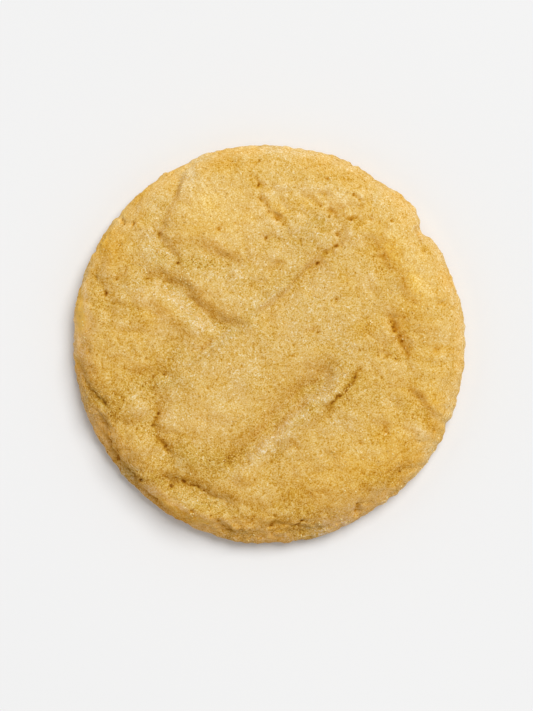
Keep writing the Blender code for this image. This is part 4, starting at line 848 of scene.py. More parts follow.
def turned_away(mesh: bpy.types.Mesh) -> Array:
    """How far each point faces away from the light: 0 where it is level, less than 0 towards the light."""
    return towards_light()[2] - point_normals(mesh) @ towards_light()


def set_mask(mesh: bpy.types.Mesh, mask: Mask, values: Array) -> None:
    """Stores one number at each of the mesh's points."""
    layer = mesh.attributes.new(mask.value, "FLOAT", "POINT")
    layer.data.foreach_set("value", values.astype(np.float32))


def get_mask(mesh: bpy.types.Mesh, mask: Mask) -> Array:
    """The numbers that set_mask stored."""
    values = np.empty(len(mesh.vertices), np.float32)
    mesh.attributes[mask.value].data.foreach_get("value", values)
    return values.astype(float)


def select_only(obj: bpy.types.Object) -> None:
    """Makes this the one selected and active object."""
    bpy.ops.object.select_all(action="DESELECT")
    obj.select_set(True)
    bpy.context.view_layer.objects.active = obj


def new_primitive(name: str) -> bpy.types.Object:
    """Names the primitive that was just added, and puts its size and place in its mesh."""
    obj = bpy.context.active_object
    obj.name = name
    obj.data.name = name
    bpy.ops.object.transform_apply(location=True, rotation=True, scale=True)
    return obj


def apply_all(obj: bpy.types.Object) -> None:
    """Applies the object's modifiers in order."""
    select_only(obj)
    for modifier in list(obj.modifiers):
        bpy.ops.object.modifier_apply(modifier=modifier.name)


@dataclass(frozen=True)
class Signal:
    """A shader socket that can be used in arithmetic."""

    sketch: "Sketch"
    socket: bpy.types.NodeSocket

    def __add__(self, other: "Signal | float") -> "Signal":
        """Sum."""
        return self.sketch.maths("ADD", self, other)

    def __radd__(self, other: float) -> "Signal":
        """Sum, number first."""
        return self.sketch.maths("ADD", other, self)

    def __sub__(self, other: "Signal | float") -> "Signal":
        """Difference."""
        return self.sketch.maths("SUBTRACT", self, other)

    def __rsub__(self, other: float) -> "Signal":
        """Difference, number first."""
        return self.sketch.maths("SUBTRACT", other, self)

    def __mul__(self, other: "Signal | float") -> "Signal":
        """Product."""
        return self.sketch.maths("MULTIPLY", self, other)

    def __rmul__(self, other: float) -> "Signal":
        """Product, number first."""
        return self.sketch.maths("MULTIPLY", other, self)

    def clamp(self) -> "Signal":
        """The value kept between 0 and 1."""
        return self.sketch.maths("ADD", self, 0.0, clamped=True)


class Sketch:
    """A material under way: its Principled shader and the nodes that feed it."""

    def __init__(self, name: str) -> None:
        """Starts a material with an empty Principled shader."""
        self.material = bpy.data.materials.new(name)
        self.material.use_nodes = True
        self.tree = self.material.node_tree
        self.shader = self.tree.nodes["Principled BSDF"]

    def socket(self, sockets: bpy.types.bpy_prop_collection, key: str | int) -> bpy.types.NodeSocket:
        """A node's socket by its place, identifier or name."""
        if isinstance(key, int):
            return sockets[key]
        for candidate in sockets:
            if candidate.identifier == key:
                return candidate
        return sockets[key]

    def feed(self, node: bpy.types.Node, inputs: dict) -> None:
        """Sets or links a node's sockets.

        Args:
            node: The node to feed.
            inputs: For each socket's name, identifier or place, its value or the signal that feeds it.
        """
        for key, value in inputs.items():
            socket = self.socket(node.inputs, key)
            if isinstance(value, Signal):
                self.tree.links.new(value.socket, socket)
            elif isinstance(value, tuple) and len(value) == 3 and socket.type == "RGBA":
                socket.default_value = (*value, 1.0)
            else:
                socket.default_value = value

    def node(
        self, kind: str, settings: dict | None = None, inputs: dict | None = None, output: str | int = 0
    ) -> Signal:
        """Adds a node.

        Args:
            kind: The node's type.
            settings: Its own settings, and for a ramp its stops, each a place and a colour.
            inputs: Values or signals for its sockets.
            output: The socket that is wanted from it.

        Returns:
            The signal of that socket.
        """
        node = self.tree.nodes.new(kind)
        for key, value in (settings or {}).items():
            if key == "stops":
                self.set_stops(node.color_ramp, value)
            else:
                setattr(node, key, value)
        self.feed(node, inputs or {})
        return Signal(self, self.socket(node.outputs, output))

    def set_stops(self, ramp: bpy.types.ColorRamp, stops: tuple) -> None:
        """Gives a ramp its stops, from the lowest to the highest."""
        while len(ramp.elements) < len(stops):
            ramp.elements.new(1.0)
        for element, (place, colour) in zip(ramp.elements, stops):
            element.position = place
            element.color = (*colour, 1.0)

    def maths(self, operation: str, *values: "Signal | float", clamped: bool = False) -> Signal:
        """A Math node on signals or numbers."""
        inputs = dict(enumerate(values))
        return self.node("ShaderNodeMath", {"operation": operation, "use_clamp": clamped}, inputs)

    def attribute(self, mask: Mask) -> Signal:
        """The number that the mesh holds under a mask's name."""
        return self.node("ShaderNodeAttribute", {"attribute_name": mask.value}, output="Fac")

    def place(self) -> Signal:
        """Object coordinates."""
        return self.node("ShaderNodeTexCoord", output="Object")

    def waves(self, size: float, detail: float, seed: float) -> Signal:
        """Smooth noise.

        Args:
            size: The size of one wave, in millimetres.
            detail: How many finer layers are added.
            seed: Its place in the noise.

        Returns:
            A signal of about 0.5 on average.
        """
        settings = {"noise_dimensions": "4D", "noise_type": "FBM", "normalize": True}
        inputs = {"Vector": self.place(), "W": seed, "Scale": 1.0 / (size * MM), "Detail": detail}
        return self.node("ShaderNodeTexNoise", settings, inputs, "Fac")

    def ripple(self, size: float, detail: float, seed: float) -> Signal:
        """The same smooth noise, about 0 on average."""
        return self.waves(size, detail, seed) - 0.5

    def cells(self, size: float) -> Signal:
        """Packed grains of a size in millimetres: 0 in the middle of each and larger towards the gaps."""
        inputs = {"Vector": self.place(), "Scale": 1.0 / (size * MM)}
        return self.node("ShaderNodeTexVoronoi", {"feature": "F1"}, inputs, "Distance")

    def rise(self, low: float, high: float, value: Signal) -> Signal:
        """0 below low, 1 above high and a smooth rise between them."""
        settings = {"interpolation_type": "SMOOTHSTEP", "clamp": True}
        inputs = {"Value": value, "From Min": low, "From Max": high}
        return self.node("ShaderNodeMapRange", settings, inputs)

    def blend(self, share: Signal, low: "Signal | Colour", high: "Signal | Colour") -> Signal:
        """A colour between two others."""
        settings = {"data_type": "RGBA", "blend_type": "MIX", "clamp_factor": True}
        inputs = {"Factor_Float": share, "A_Color": low, "B_Color": high}
        return self.node("ShaderNodeMix", settings, inputs, "Result_Color")

    def vector_maths(self, operation: str, *values: "Signal | tuple", output: str = "Vector") -> Signal:
        """A Vector Math node on signals or vectors."""
        return self.node("ShaderNodeVectorMath", {"operation": operation}, dict(enumerate(values)), output)

    def scaled(self, colour: Signal, red: "Signal | float", green: Signal, blue: Signal) -> Signal:
        """A colour whose red, green and blue are each multiplied."""
        shares = self.node("ShaderNodeCombineXYZ", inputs={"X": red, "Y": green, "Z": blue})
        return self.vector_maths("MULTIPLY", colour, shares)

    def bump(self, height: Signal, depth: float) -> Signal:
        """A surface normal tilted by a height signal.

        Args:
            height: The height, as a signal.
            depth: What a height of 1 means, in millimetres.

        Returns:
            The normal.
        """
        return self.node("ShaderNodeBump", {}, {"Strength": 1.0, "Distance": depth * MM, "Height": height})


@dataclass(frozen=True)
class CrustFinish:
    """Matte baked crust, from brown in the pores through gold to cream where it is dry and sugared."""

    stops: tuple[tuple[float, Colour], ...] = (
        (0.0, (0.23, 0.08, 0.004)),
        (0.25, (0.43, 0.195, 0.012)),
        (0.45, (0.56, 0.308, 0.036)),
        (0.6, (0.64, 0.4, 0.098)),
        (0.8, (0.705, 0.485, 0.178)),
        (1.0, (0.8, 0.62, 0.33)),
    )
    middle: float = 0.60
    baked: Colour = (0.40, 0.19, 0.038)
    roughness: float = 0.8
    specular: float = 0.05
    bump_depth: float = 0.012
    cavity_dark: float = 0.05
    crack_dark: float = 0.50
    prick_dark: float = 0.25
    rim_blue: float = 2.2

    def material(self) -> bpy.types.Material:
        """The crust's material.

        Returns:
            A material that reads the crust's masks and adds fine noise.
        """
        sketch = Sketch("golden_crust")
        fleck = sketch.ripple(0.30, 1.0, seed=3.0)
        granule = sketch.ripple(0.62, 1.0, seed=7.0)
        mottle = sketch.ripple(1.5, 2.0, seed=11.0)
        fine = 1.10 * fleck + 0.20 * granule + 0.16 * mottle
        fine = fine + 0.17 * (self.curls(sketch) - 0.10) - 0.24 * (sketch.cells(0.60) - 0.50)
        pale = self.middle + fine + 0.3 * sketch.ripple(5.0, 2.0, seed=17.0)
        pale = pale + sketch.attribute(Mask.GRAIN) + sketch.attribute(Mask.TONE)
        # Darker in the folds: partly the crust's own colour there, partly painted shade
        pale = pale - self.cavity_dark * sketch.attribute(Mask.CAVITY)
        # Darker and browner in cracks and pores, partly painted shade, and in scattered small pricks
        ragged = 2.4 * granule + 2.6 * fleck
        torn = sketch.attribute(Mask.CRACK) * (1.0 + 0.6 * ragged) + 0.22 * ragged
        prick = sketch.rise(0.68, 0.80, sketch.waves(0.5, 0.0, seed=29.0))
        pale = pale - self.crack_dark * sketch.rise(0.10, 0.85, torn) - self.prick_dark * prick
        ground = sketch.node("ShaderNodeValToRGB", {"stops": self.stops}, {"Fac": pale.clamp()}, "Color")
        golden = self.gilded(sketch, ground, fine)
        bake = sketch.attribute(Mask.BAKE) * (0.75 + 0.8 * mottle)
        inputs = {
            "Base Color": sketch.blend(bake.clamp(), golden, self.baked),
            "Roughness": self.roughness,
            "Specular IOR Level": self.specular,
            "Normal": sketch.bump(0.6 * granule + 0.4 * fleck, self.bump_depth),
        }
        sketch.feed(sketch.shader, inputs)
        return sketch.material

    def curls(self, sketch: Sketch) -> Signal:
        """Thin pale threads of dry crust, here and there, and more of them where sugar lies."""
        thread = sketch.maths("ABSOLUTE", sketch.ripple(0.95, 1.0, seed=5.0))
        here = sketch.rise(0.42, 0.60, sketch.waves(0.8, 0.0, seed=31.0))
        frost = 0.3 + 3.2 * (sketch.attribute(Mask.SUGAR) - 0.6)
        return (1.0 - sketch.rise(0.0, 0.05, thread)) * here * frost

    def gilded(self, sketch: Sketch, ground: Signal, fine: Signal) -> Signal:
        """The crust's colour, warmer where it is tinted and in the gaps of its grain, with painted shade
        that makes it warmer where it faces away from the light.

        Args:
            sketch: The material under way.
            ground: The colour that goes with how pale the crust is.
            fine: The grain's own lightness, about 0 on average.

        Returns:
            The warmer colour.
        """
        tint = sketch.attribute(Mask.TINT)
        # Painted shade: warmer where the crust faces away from the light, and less saturated on the rim
        # where it does
        shade = sketch.attribute(Mask.SHADE)
        edge = sketch.attribute(Mask.RIM)
        inner = shade * (1.0 - edge)
        red = 1.0 + 0.02 * tint + 0.10 * inner
        green = 1.01 - tint * (0.04 + 0.03 * edge) - 0.26 * inner - 0.06 * shade + 0.17 * fine
        blue = (1.06 - 0.30 * tint + 0.40 * fine) * (1.0 - shade * (1.0 - self.rim_blue * edge))
        return sketch.scaled(ground, red, green, blue)


@dataclass(frozen=True)
class SugarFinish:
    """Sugar or crumbs: dull, between two colours of the crust, with painted shade that makes them warmer
    where they face away from the light.
    """

    name: str
    low: Colour
    high: Colour
    roughness: float = 0.55
    specular: float = 0.08
    # How much the painted shade takes from green and blue
    shade_green: float = 0.10
    shade_blue: float = 0.7

    def material(self) -> bpy.types.Material:
        """The material, with a slight difference from grain to grain."""
        sketch = Sketch(self.name)
        share = sketch.rise(0.35, 0.65, sketch.waves(0.8, 1.0, seed=23.0))
        shade = sketch.attribute(Mask.SHADE)
        colour = sketch.blend(share, self.low, self.high)
        green = 1.0 - self.shade_green * shade
        blue = 1.0 - self.shade_blue * shade
        inputs = {
            "Base Color": sketch.scaled(colour, 1.0, green, blue),
            "Roughness": self.roughness,
            "Specular IOR Level": self.specular,
        }
        sketch.feed(sketch.shader, inputs)
        return sketch.material


@dataclass(frozen=True)
class FloorFinish:
    """Pale paper with painted light: a little lighter away from the light and near the cookie, to keep it
    even.
    """

    grey: float = 0.778
    far_painted_light: float = 0.035
    far_reach: float = 35.0
    near_painted_light: float = 0.045
    near_full: float = 42.5
    near_none: float = 46.5
    roughness: float = 0.9

    def material(self) -> bpy.types.Material:
        """The floor's material.

        Returns:
            A grey with painted light, a little lighter away from the light and near the cookie.
        """
        sketch = Sketch("pale_floor")
        ahead = tuple(-towards_light() * (1.0, 1.0, 0.0))
        along = sketch.vector_maths("DOT_PRODUCT", sketch.place(), ahead, output="Value")
        out = sketch.vector_maths("LENGTH", sketch.place(), output="Value")
        # Painted light: lighter away from the light, against its falloff, and near the cookie, against its
        # shade
        far = sketch.rise(-self.far_reach * MM, self.far_reach * MM, along)
        near = 1.0 - sketch.rise(self.near_full * MM, self.near_none * MM, out)
        grey = self.grey * (1.0 + self.far_painted_light * far + self.near_painted_light * near)
        inputs = {"Base Color": grey, "Roughness": self.roughness, "Specular IOR Level": 0.0}
        sketch.feed(sketch.shader, inputs)
        return sketch.material


@dataclass(frozen=True)
class Ground:
    """The plain disc's points, and how far natural unevenness shifts the forms there."""

    points: Array
    wander: Array
    torn: Array

    def plan(self, tear: float = 0.0) -> Array:
        """Where forms are looked up, as seen from above, with a share of the torn edges' shift."""
        return self.points[:, :2] + self.wander + tear * self.torn


@dataclass(frozen=True)
class Forms:
    """What each kind of form does to the height of each of the crust's points, in millimetres.

    The last two say how far a point belongs to the top and to the side, from 0 to 1.
    """

    broad: Array
    pits: Array
    lines: Array
    cracks: Array
    fine: Array
    sunk: Array
    on_top: Array
    on_side: Array


@dataclass(frozen=True)
class Painting:
    """How strongly the crust's forms, its rim and its foot colour it, with painted light on the rim,
    painted shade where the crust faces away from the light and, in part, painted shade in its folds and
    cracks.

    Each range is a pair: where an effect starts and where it is full, or a value's least and most.
    """

    rim: Pair = (0.84, 0.98)
    rim_painted_light: float = 0.09
    rim_painted_light_facing: float = 0.11
    rim_painted_light_beside: float = 0.13
    rim_gold: float = 0.35
    rim_gold_facing: float = 0.15
    rim_unshaded: Pair = (-0.7, 0.1)
    shade: Pair = (-0.06, 0.30)
    cavity: Pair = (-1.0, 2.0)
    cavity_lines: float = 0.6
    line_brown: float = 0.25
    crack_brown: float = 0.45
    fine_brown: float = 1.5
    pore_brown: float = 2.4
    too_little_brown: float = 0.06
    most_brown: float = 0.9
    tint: Pair = (-2.2, 2.6)
    unbaked: Pair = (0.2, 2.6)
    least_sugar: float = 0.6
    pale: Pair = (-0.4, 0.8)
    sugarless: Pair = (0.05, 0.3)
    wrinkle_tone: float = 0.9
    crumble_tone: float = 0.35


@dataclass
class Crust:
    """The cookie's whole outer surface, one closed piece from the top round the edge to the underside.

    The shoulder and the foot round the disc's edge above and below its widest height. Features fade in
    between two heights, so that the side stays plain. A tear is how much of the torn edges' shift a kind
    of form takes, and a pore's form is its depth, length and width as shares of its reach.
    """

    low: Vector
    high: Vector
    mean_radius: float = 42.5
    centre_height: float = 10.6
    shoulder_height: float = 9.4
    shoulder_reach: float = 7.5
    widest_height: float = 3.0
    foot_reach: float = 3.2
    dome_steps: int = 4
    profile_steps: int = 14
    turn_steps: int = 160
    surface_grain: float = 0.27
    outline_x: float = 42.15
    outline_y: float = 42.95
    outline_from: float = 0.3
    outline_full: float = 0.9
    feature_from: float = 2.6
    feature_full: float = 6.4
    flat_foot: float = 0.12
    triangles: int = 196000
    finish: CrustFinish = field(default_factory=CrustFinish)
    paint: Painting = field(default_factory=Painting)
    wrinkles: tuple[Wave, ...] = (Wave(1.7, 0.022, 50.0), Wave(0.9, 0.010, 51.0))
    crumble: tuple[Wave, ...] = (Wave(1.5, 0.28, 52.0), Wave(0.8, 0.14, 53.0))
    crumble_heights: Pair = (4.5, 8.5)
    crease_bend: float = 0.6
    side_crinkle: float = 0.3
    pit_share: float = 0.6
    line_tear: float = 0.7
    crack_tear: float = 0.5
    bead_middle: float = 0.75
    bead_range: Pair = (0.15, 1.5)
    pore_form: tuple[float, float, float] = (0.8, 1.05, 0.75)
    stray_pores: int = 130
    stray_form: tuple[float, float, float] = (0.6, 1.0, 1.2)
    stray_reaches: Pair = (0.20, 0.30)
    stray_area: float = 0.93
    seed: int = 7

    def profile(self) -> list[Pair]:
        """Half section of the disc.

        Returns:
            Radius and height from the foot up the side and over the top to near its middle.
        """
        shoulder = self.mean_radius - self.shoulder_reach
        foot = self.mean_radius - self.foot_reach
        quarter = [math.radians(90.0 * step / self.profile_steps) for step in range(self.profile_steps + 1)]
        rings = []
        for angle in reversed(quarter):
            height = self.widest_height * (1 - math.sin(angle))
            rings.append((foot + self.foot_reach * math.cos(angle), height))
        for angle in reversed(quarter[:-1]):
            rise = (self.shoulder_height - self.widest_height) * math.cos(angle)
            rings.append((shoulder + self.shoulder_reach * math.sin(angle), self.widest_height + rise))
        for step in reversed(range(1, self.dome_steps)):
            share = step / self.dome_steps
            drop = (self.centre_height - self.shoulder_height) * share**2
            rings.append((shoulder * share, self.centre_height - drop))
        return rings

    def turned_disc(self) -> bpy.types.Object:
        """A cylinder's upper face, extruded and scaled ring by ring along the profile.

        Returns:
            The plain rounded disc, closed.
        """
        rings = self.profile()
        radius = rings[0][0]
        depth = rings[1][1]
        bpy.ops.object.select_all(action="DESELECT")
        bpy.ops.mesh.primitive_cylinder_add(
            vertices=self.turn_steps, radius=radius * MM, depth=depth * MM, location=(0, 0, depth * MM / 2)
        )
        disc = new_primitive("cookie_crust")
        bpy.ops.object.mode_set(mode="EDIT")
        bpy.ops.mesh.select_mode(type="FACE")
        bpy.ops.mesh.select_all(action="DESELECT")
        editing = bmesh.from_edit_mesh(disc.data)
        top = max(editing.faces, key=lambda face: face.calc_center_median().z)
        top.select_set(True)
        bmesh.update_edit_mesh(disc.data)
        height = depth
        for step, (ring_radius, ring_height) in enumerate(rings[1:]):
            if step:
                lift = (ring_height - height) * MM
                bpy.ops.mesh.extrude_region_move(TRANSFORM_OT_translate={"value": (0, 0, lift)})
            share = ring_radius / radius
            bpy.ops.transform.resize(value=(share, share, 1), center_override=(0, 0, ring_height * MM))
            radius, height = ring_radius, ring_height
        lift = (self.centre_height - height) * MM
        bpy.ops.mesh.extrude_region_move(TRANSFORM_OT_translate={"value": (0, 0, lift)})
        bpy.ops.mesh.merge(type="CENTER")
        bpy.ops.object.mode_set(mode="OBJECT")
        return disc

    def even_surface(self, disc: bpy.types.Object) -> None:
        """Gives the disc an even, fine net of points."""
        grain = disc.modifiers.new("even surface", "REMESH")
        grain.mode = "VOXEL"
        grain.voxel_size = self.surface_grain * MM
        apply_all(disc)

    def outline_radius(self, bearing: Array) -> Array:
        """Radius of the outline at each bearing, in radians."""
        flat = np.hypot(self.outline_y * np.cos(bearing), self.outline_x * np.sin(bearing))
        radius = self.outline_x * self.outline_y / flat
        for centre, half_width, height in LOBES + FINE_LOBES:
            apart = (np.degrees(bearing) - centre + 180.0) % 360.0 - 180.0
            radius = radius + height * np.exp(-((apart / half_width) ** 2))
        return radius

    def shape_outline(self, mesh: bpy.types.Mesh) -> None:
        """Gives the disc the cookie's own outline."""
        points = mesh_points(mesh) / MM
        stretch = self.outline_radius(np.arctan2(points[:, 1], points[:, 0])) / self.mean_radius
        share = np.hypot(points[:, 0], points[:, 1]) / self.mean_radius
        taken = smoothstep(self.outline_from, self.outline_full, share)
        points[:, :2] *= (1.0 + (stretch - 1.0) * taken)[:, None]
        move_points(mesh, points * MM)

    def pores(self) -> list[Spot]:
        """The named pores and the stray small ones.

        Returns:
            One sunk spot for each pore.
        """
        draw = np.random.default_rng(self.seed)
        pores = []
        depth, length, width = self.pore_form
        for x, y, reach in PORES:
            turn = draw.uniform(0.0, 180.0)
            pores.append(Spot(x, y, -depth * reach, reach * length, reach * width, turn))
        depth, length, width = self.stray_form
        for _ in range(self.stray_pores):
            bearing = draw.uniform(0.0, 2.0 * math.pi)
            out = self.mean_radius * math.sqrt(draw.uniform(0.0, self.stray_area))
            reach = draw.uniform(*self.stray_reaches)
            x, y = out * math.cos(bearing), out * math.sin(bearing)
            pores.append(Spot(x, y, -depth * reach, reach * length, reach * width))
        return pores

    def forms(self, ground: Ground) -> Forms:
        """The crust's forms at each point.

        Args:
            ground: The disc with its outline.

        Returns:
            What each kind of form does there.
        """
        points = ground.points
        beads = np.clip(self.bead_middle + BEADS.at(points), *self.bead_range)
        sunk = np.zeros(len(points))
        for pore in self.pores():
            away = np.hypot(points[:, 0] - pore.x, points[:, 1] - pore.y)
            near = away < REACHES_FELT * pore.reach_x
            sunk[near] += pore.height(points[near, :2])
        return Forms(
            broad=summed(FOLDS + LOW_FOLDS + MOUNDS, ground.plan()),
            pits=summed(PITS, ground.plan(1.0)),
            lines=summed(CRUST_LINES, ground.plan(self.line_tear)),
            cracks=summed(CRACKS, ground.plan(self.crack_tear)),
            fine=summed(FINE_CRACKS, points[:, :2] + self.crack_tear * ground.torn) * beads,
            sunk=sunk,
            on_top=smoothstep(self.feature_from, self.feature_full, points[:, 2]),
            on_side=smoothstep(0.0, self.widest_height, points[:, 2]),
        )

    def crests(self, ground: Ground) -> list[Array]:
        """Each of the crinkles at each point, livelier in some places than in others."""
        lively = summed(LIVELINESS, ground.points[:, :2], 1.0)
        bend = np.column_stack([ground.wander, ground.wander[:, :1]])
        bent = ground.points + bend * self.crease_bend
        return [crinkle.crests(bent) * lively for crinkle in CRINKLES]

    def shape_crust(self, mesh: bpy.types.Mesh) -> None:
        """Pushes the crust in and out, and stores what each point is.

        Args:
            mesh: The disc with its outline.
        """
        points = mesh_points(mesh) / MM
        wander = np.column_stack([unevenness(points, WANDER_X), unevenness(points, WANDER_Y)])
        ground = Ground(points, wander, np.column_stack([wave.at(points) for wave in TORN]))
        forms = self.forms(ground)
        on_top, on_side = forms.on_top, forms.on_side
        crests = self.crests(ground)
        wrinkle = unevenness(points, self.wrinkles)
        crinkled = np.zeros(len(points))
        tone = wrinkle * self.paint.wrinkle_tone
        for crinkle, crest in zip(CRINKLES, crests):
            crinkled += crest * crinkle.height
            tone += crest * crinkle.tone
        foot = on_side * (1.0 - smoothstep(*self.crumble_heights, points[:, 2]))
        crumbly = unevenness(points, self.crumble) * foot
        relief = forms.broad + self.pit_share * forms.pits + forms.lines
        relief = (relief + forms.cracks + forms.fine + forms.sunk) * on_top
        crinkle_felt = self.side_crinkle + (1.0 - self.side_crinkle) * on_top
        relief += (unevenness(points, SWELLS) + wrinkle + crinkled * crinkle_felt) * on_side
        relief += crumbly
        moved = points + point_normals(mesh) * relief[:, None]
        moved[:, 2] = np.where(moved[:, 2] < self.flat_foot, 0.0, moved[:, 2])
        move_points(mesh, moved * MM)
        set_mask(mesh, Mask.GRAIN, tone + crumbly * self.paint.crumble_tone)
        self.store_form_masks(mesh, forms)
        self.store_colour_masks(mesh, moved, ground, forms)

    def browned(self, forms: Forms) -> Array:
        """How brown cracks, pits and pores make each point, below zero where they don't; partly painted
        shade.
        """
        paint = self.paint
        brown = paint.line_brown * forms.lines + paint.crack_brown * forms.cracks
        brown = brown + paint.crack_brown * forms.pits + paint.fine_brown * forms.fine
        return -(brown + paint.pore_brown * forms.sunk) - paint.too_little_brown

    def store_form_masks(self, mesh: bpy.types.Mesh, forms: Forms) -> None:
        """Stores how deep each point of the crust lies and how brown its cracks make it; both darken the
        colour, partly as painted shade.
        """
        sunk = -(forms.broad + self.paint.cavity_lines * (forms.lines + forms.cracks))
        brown = np.clip(self.browned(forms), 0.0, self.paint.most_brown)
        set_mask(mesh, Mask.CAVITY, np.clip(sunk, *self.paint.cavity) * forms.on_top)
        set_mask(mesh, Mask.CRACK, brown * forms.on_top)

    def store_colour_masks(self, mesh: bpy.types.Mesh, points: Array, ground: Ground, forms: Forms) -> None:
        """Stores the rim, the painted shade, the tones with their painted light and shade, the tints, the
        baked foot and how much sugar lies there.

        Args:
            mesh: The shaped crust.
            points: Its points, in millimetres.
            ground: The disc that it was shaped from.
            forms: The forms that shaped it.
        """
        paint = self.paint
        bearing = np.arctan2(points[:, 1], points[:, 0])
        out = np.hypot(points[:, 0], points[:, 1]) / self.outline_radius(bearing)
        edge = smoothstep(*paint.rim, out)
        # Painted light on the rim: paler all round, most towards and beside the light, and golder towards
        # it
        facing = np.cos(bearing - math.radians(PAINTED_LIGHT_BEARING))
        beside = 1.0 - facing**2
        rim_painted_light = paint.rim_painted_light + paint.rim_painted_light_facing * facing + paint.rim_painted_light_beside * beside
        # The tone: lighter and darker patches, painted shading lines along folds and ridges, and painted
        # light on the rim
        light = summed(PAINTED_SHADING_LINES, ground.plan(self.crack_tear), summed(TONES, ground.plan()))
        light += edge**6 * rim_painted_light
        tint = summed(TINTS, ground.plan()) + edge**3 * (paint.rim_gold + paint.rim_gold_facing * facing)
        # Painted shade: how far each point faces away from the light, left off the rim except on its side
        # away from the light
        shaded = np.clip(turned_away(mesh), *paint.shade)
        shaded = shaded * (1.0 - edge * smoothstep(*paint.rim_unshaded, facing))
        sugar = paint.least_sugar + (1.0 - paint.least_sugar) * smoothstep(*paint.pale, -tint)
        bare = smoothstep(*paint.sugarless, self.browned(forms))
        set_mask(mesh, Mask.RIM, edge * forms.on_side)
        set_mask(mesh, Mask.SHADE, shaded * forms.on_side)
        set_mask(mesh, Mask.TONE, light * forms.on_side)
        set_mask(mesh, Mask.TINT, np.clip(tint, *paint.tint) * forms.on_side)
        set_mask(mesh, Mask.BAKE, 1.0 - smoothstep(*paint.unbaked, points[:, 2]))
        set_mask(mesh, Mask.SUGAR, forms.on_top * sugar * (1.0 - bare))

    def fit(self, mesh: bpy.types.Mesh) -> None:
        """Scales and moves the mesh so that it fills the solid's box."""
        points = mesh_points(mesh)
        low = points.min(axis=0)
        high = points.max(axis=0)
        share = (np.array(self.high) - np.array(self.low)) / (high - low)
        move_points(mesh, np.array(self.low) + (points - low) * share)

    def thin_out(self, crust: bpy.types.Object) -> None:
        """Brings the mesh down to its number of triangles, first on the underside and then all over.

        Args:
            crust: The shaped crust.
        """
        split = crust.modifiers.new("triangles", "TRIANGULATE")
        split.quad_method = "FIXED"
        apply_all(crust)
        underside = crust.vertex_groups.new(name="underside")
        low = np.flatnonzero(mesh_points(crust.data)[:, 2] < self.flat_foot * MM)
        underside.add([int(i) for i in low], 1.0, "REPLACE")
        for group in (underside.name, ""):
            count = len(crust.data.polygons)
            thinner = crust.modifiers.new("thinner", "DECIMATE")
            thinner.vertex_group = group
            thinner.ratio = min(1.0, self.triangles / count)
            apply_all(crust)
            LOG.info("crust: %d triangles thinned to %d", count, len(crust.data.polygons))
        crust.vertex_groups.clear()

    def build(self) -> bpy.types.Object:
        """Makes the crust's mesh.

        Returns:
            The finished crust, without its material.
        """
        crust = self.turned_disc()
        self.even_surface(crust)
        self.shape_outline(crust.data)
        self.shape_crust(crust.data)
        self.fit(crust.data)
        self.thin_out(crust)
        crust.data.shade_smooth()
        return crust

    def dress(self, crust: bpy.types.Object) -> None:
        """Gives the crust its material."""
        crust.data.materials.clear()
        crust.data.materials.append(self.finish.material())


class GrainShape(Enum):
    """What a small loose piece starts from: its size, and the least and most it is stretched each way."""

    CRYSTAL = (1.0, (0.75, 1.2), (0.7, 1.0), (0.6, 0.9))
    SPECK = (0.85, (0.9, 1.4), (0.7, 1.0), (0.6, 0.9))
    CRUMB = (1.0, (0.8, 1.3), (0.7, 1.1), (0.5, 0.8))


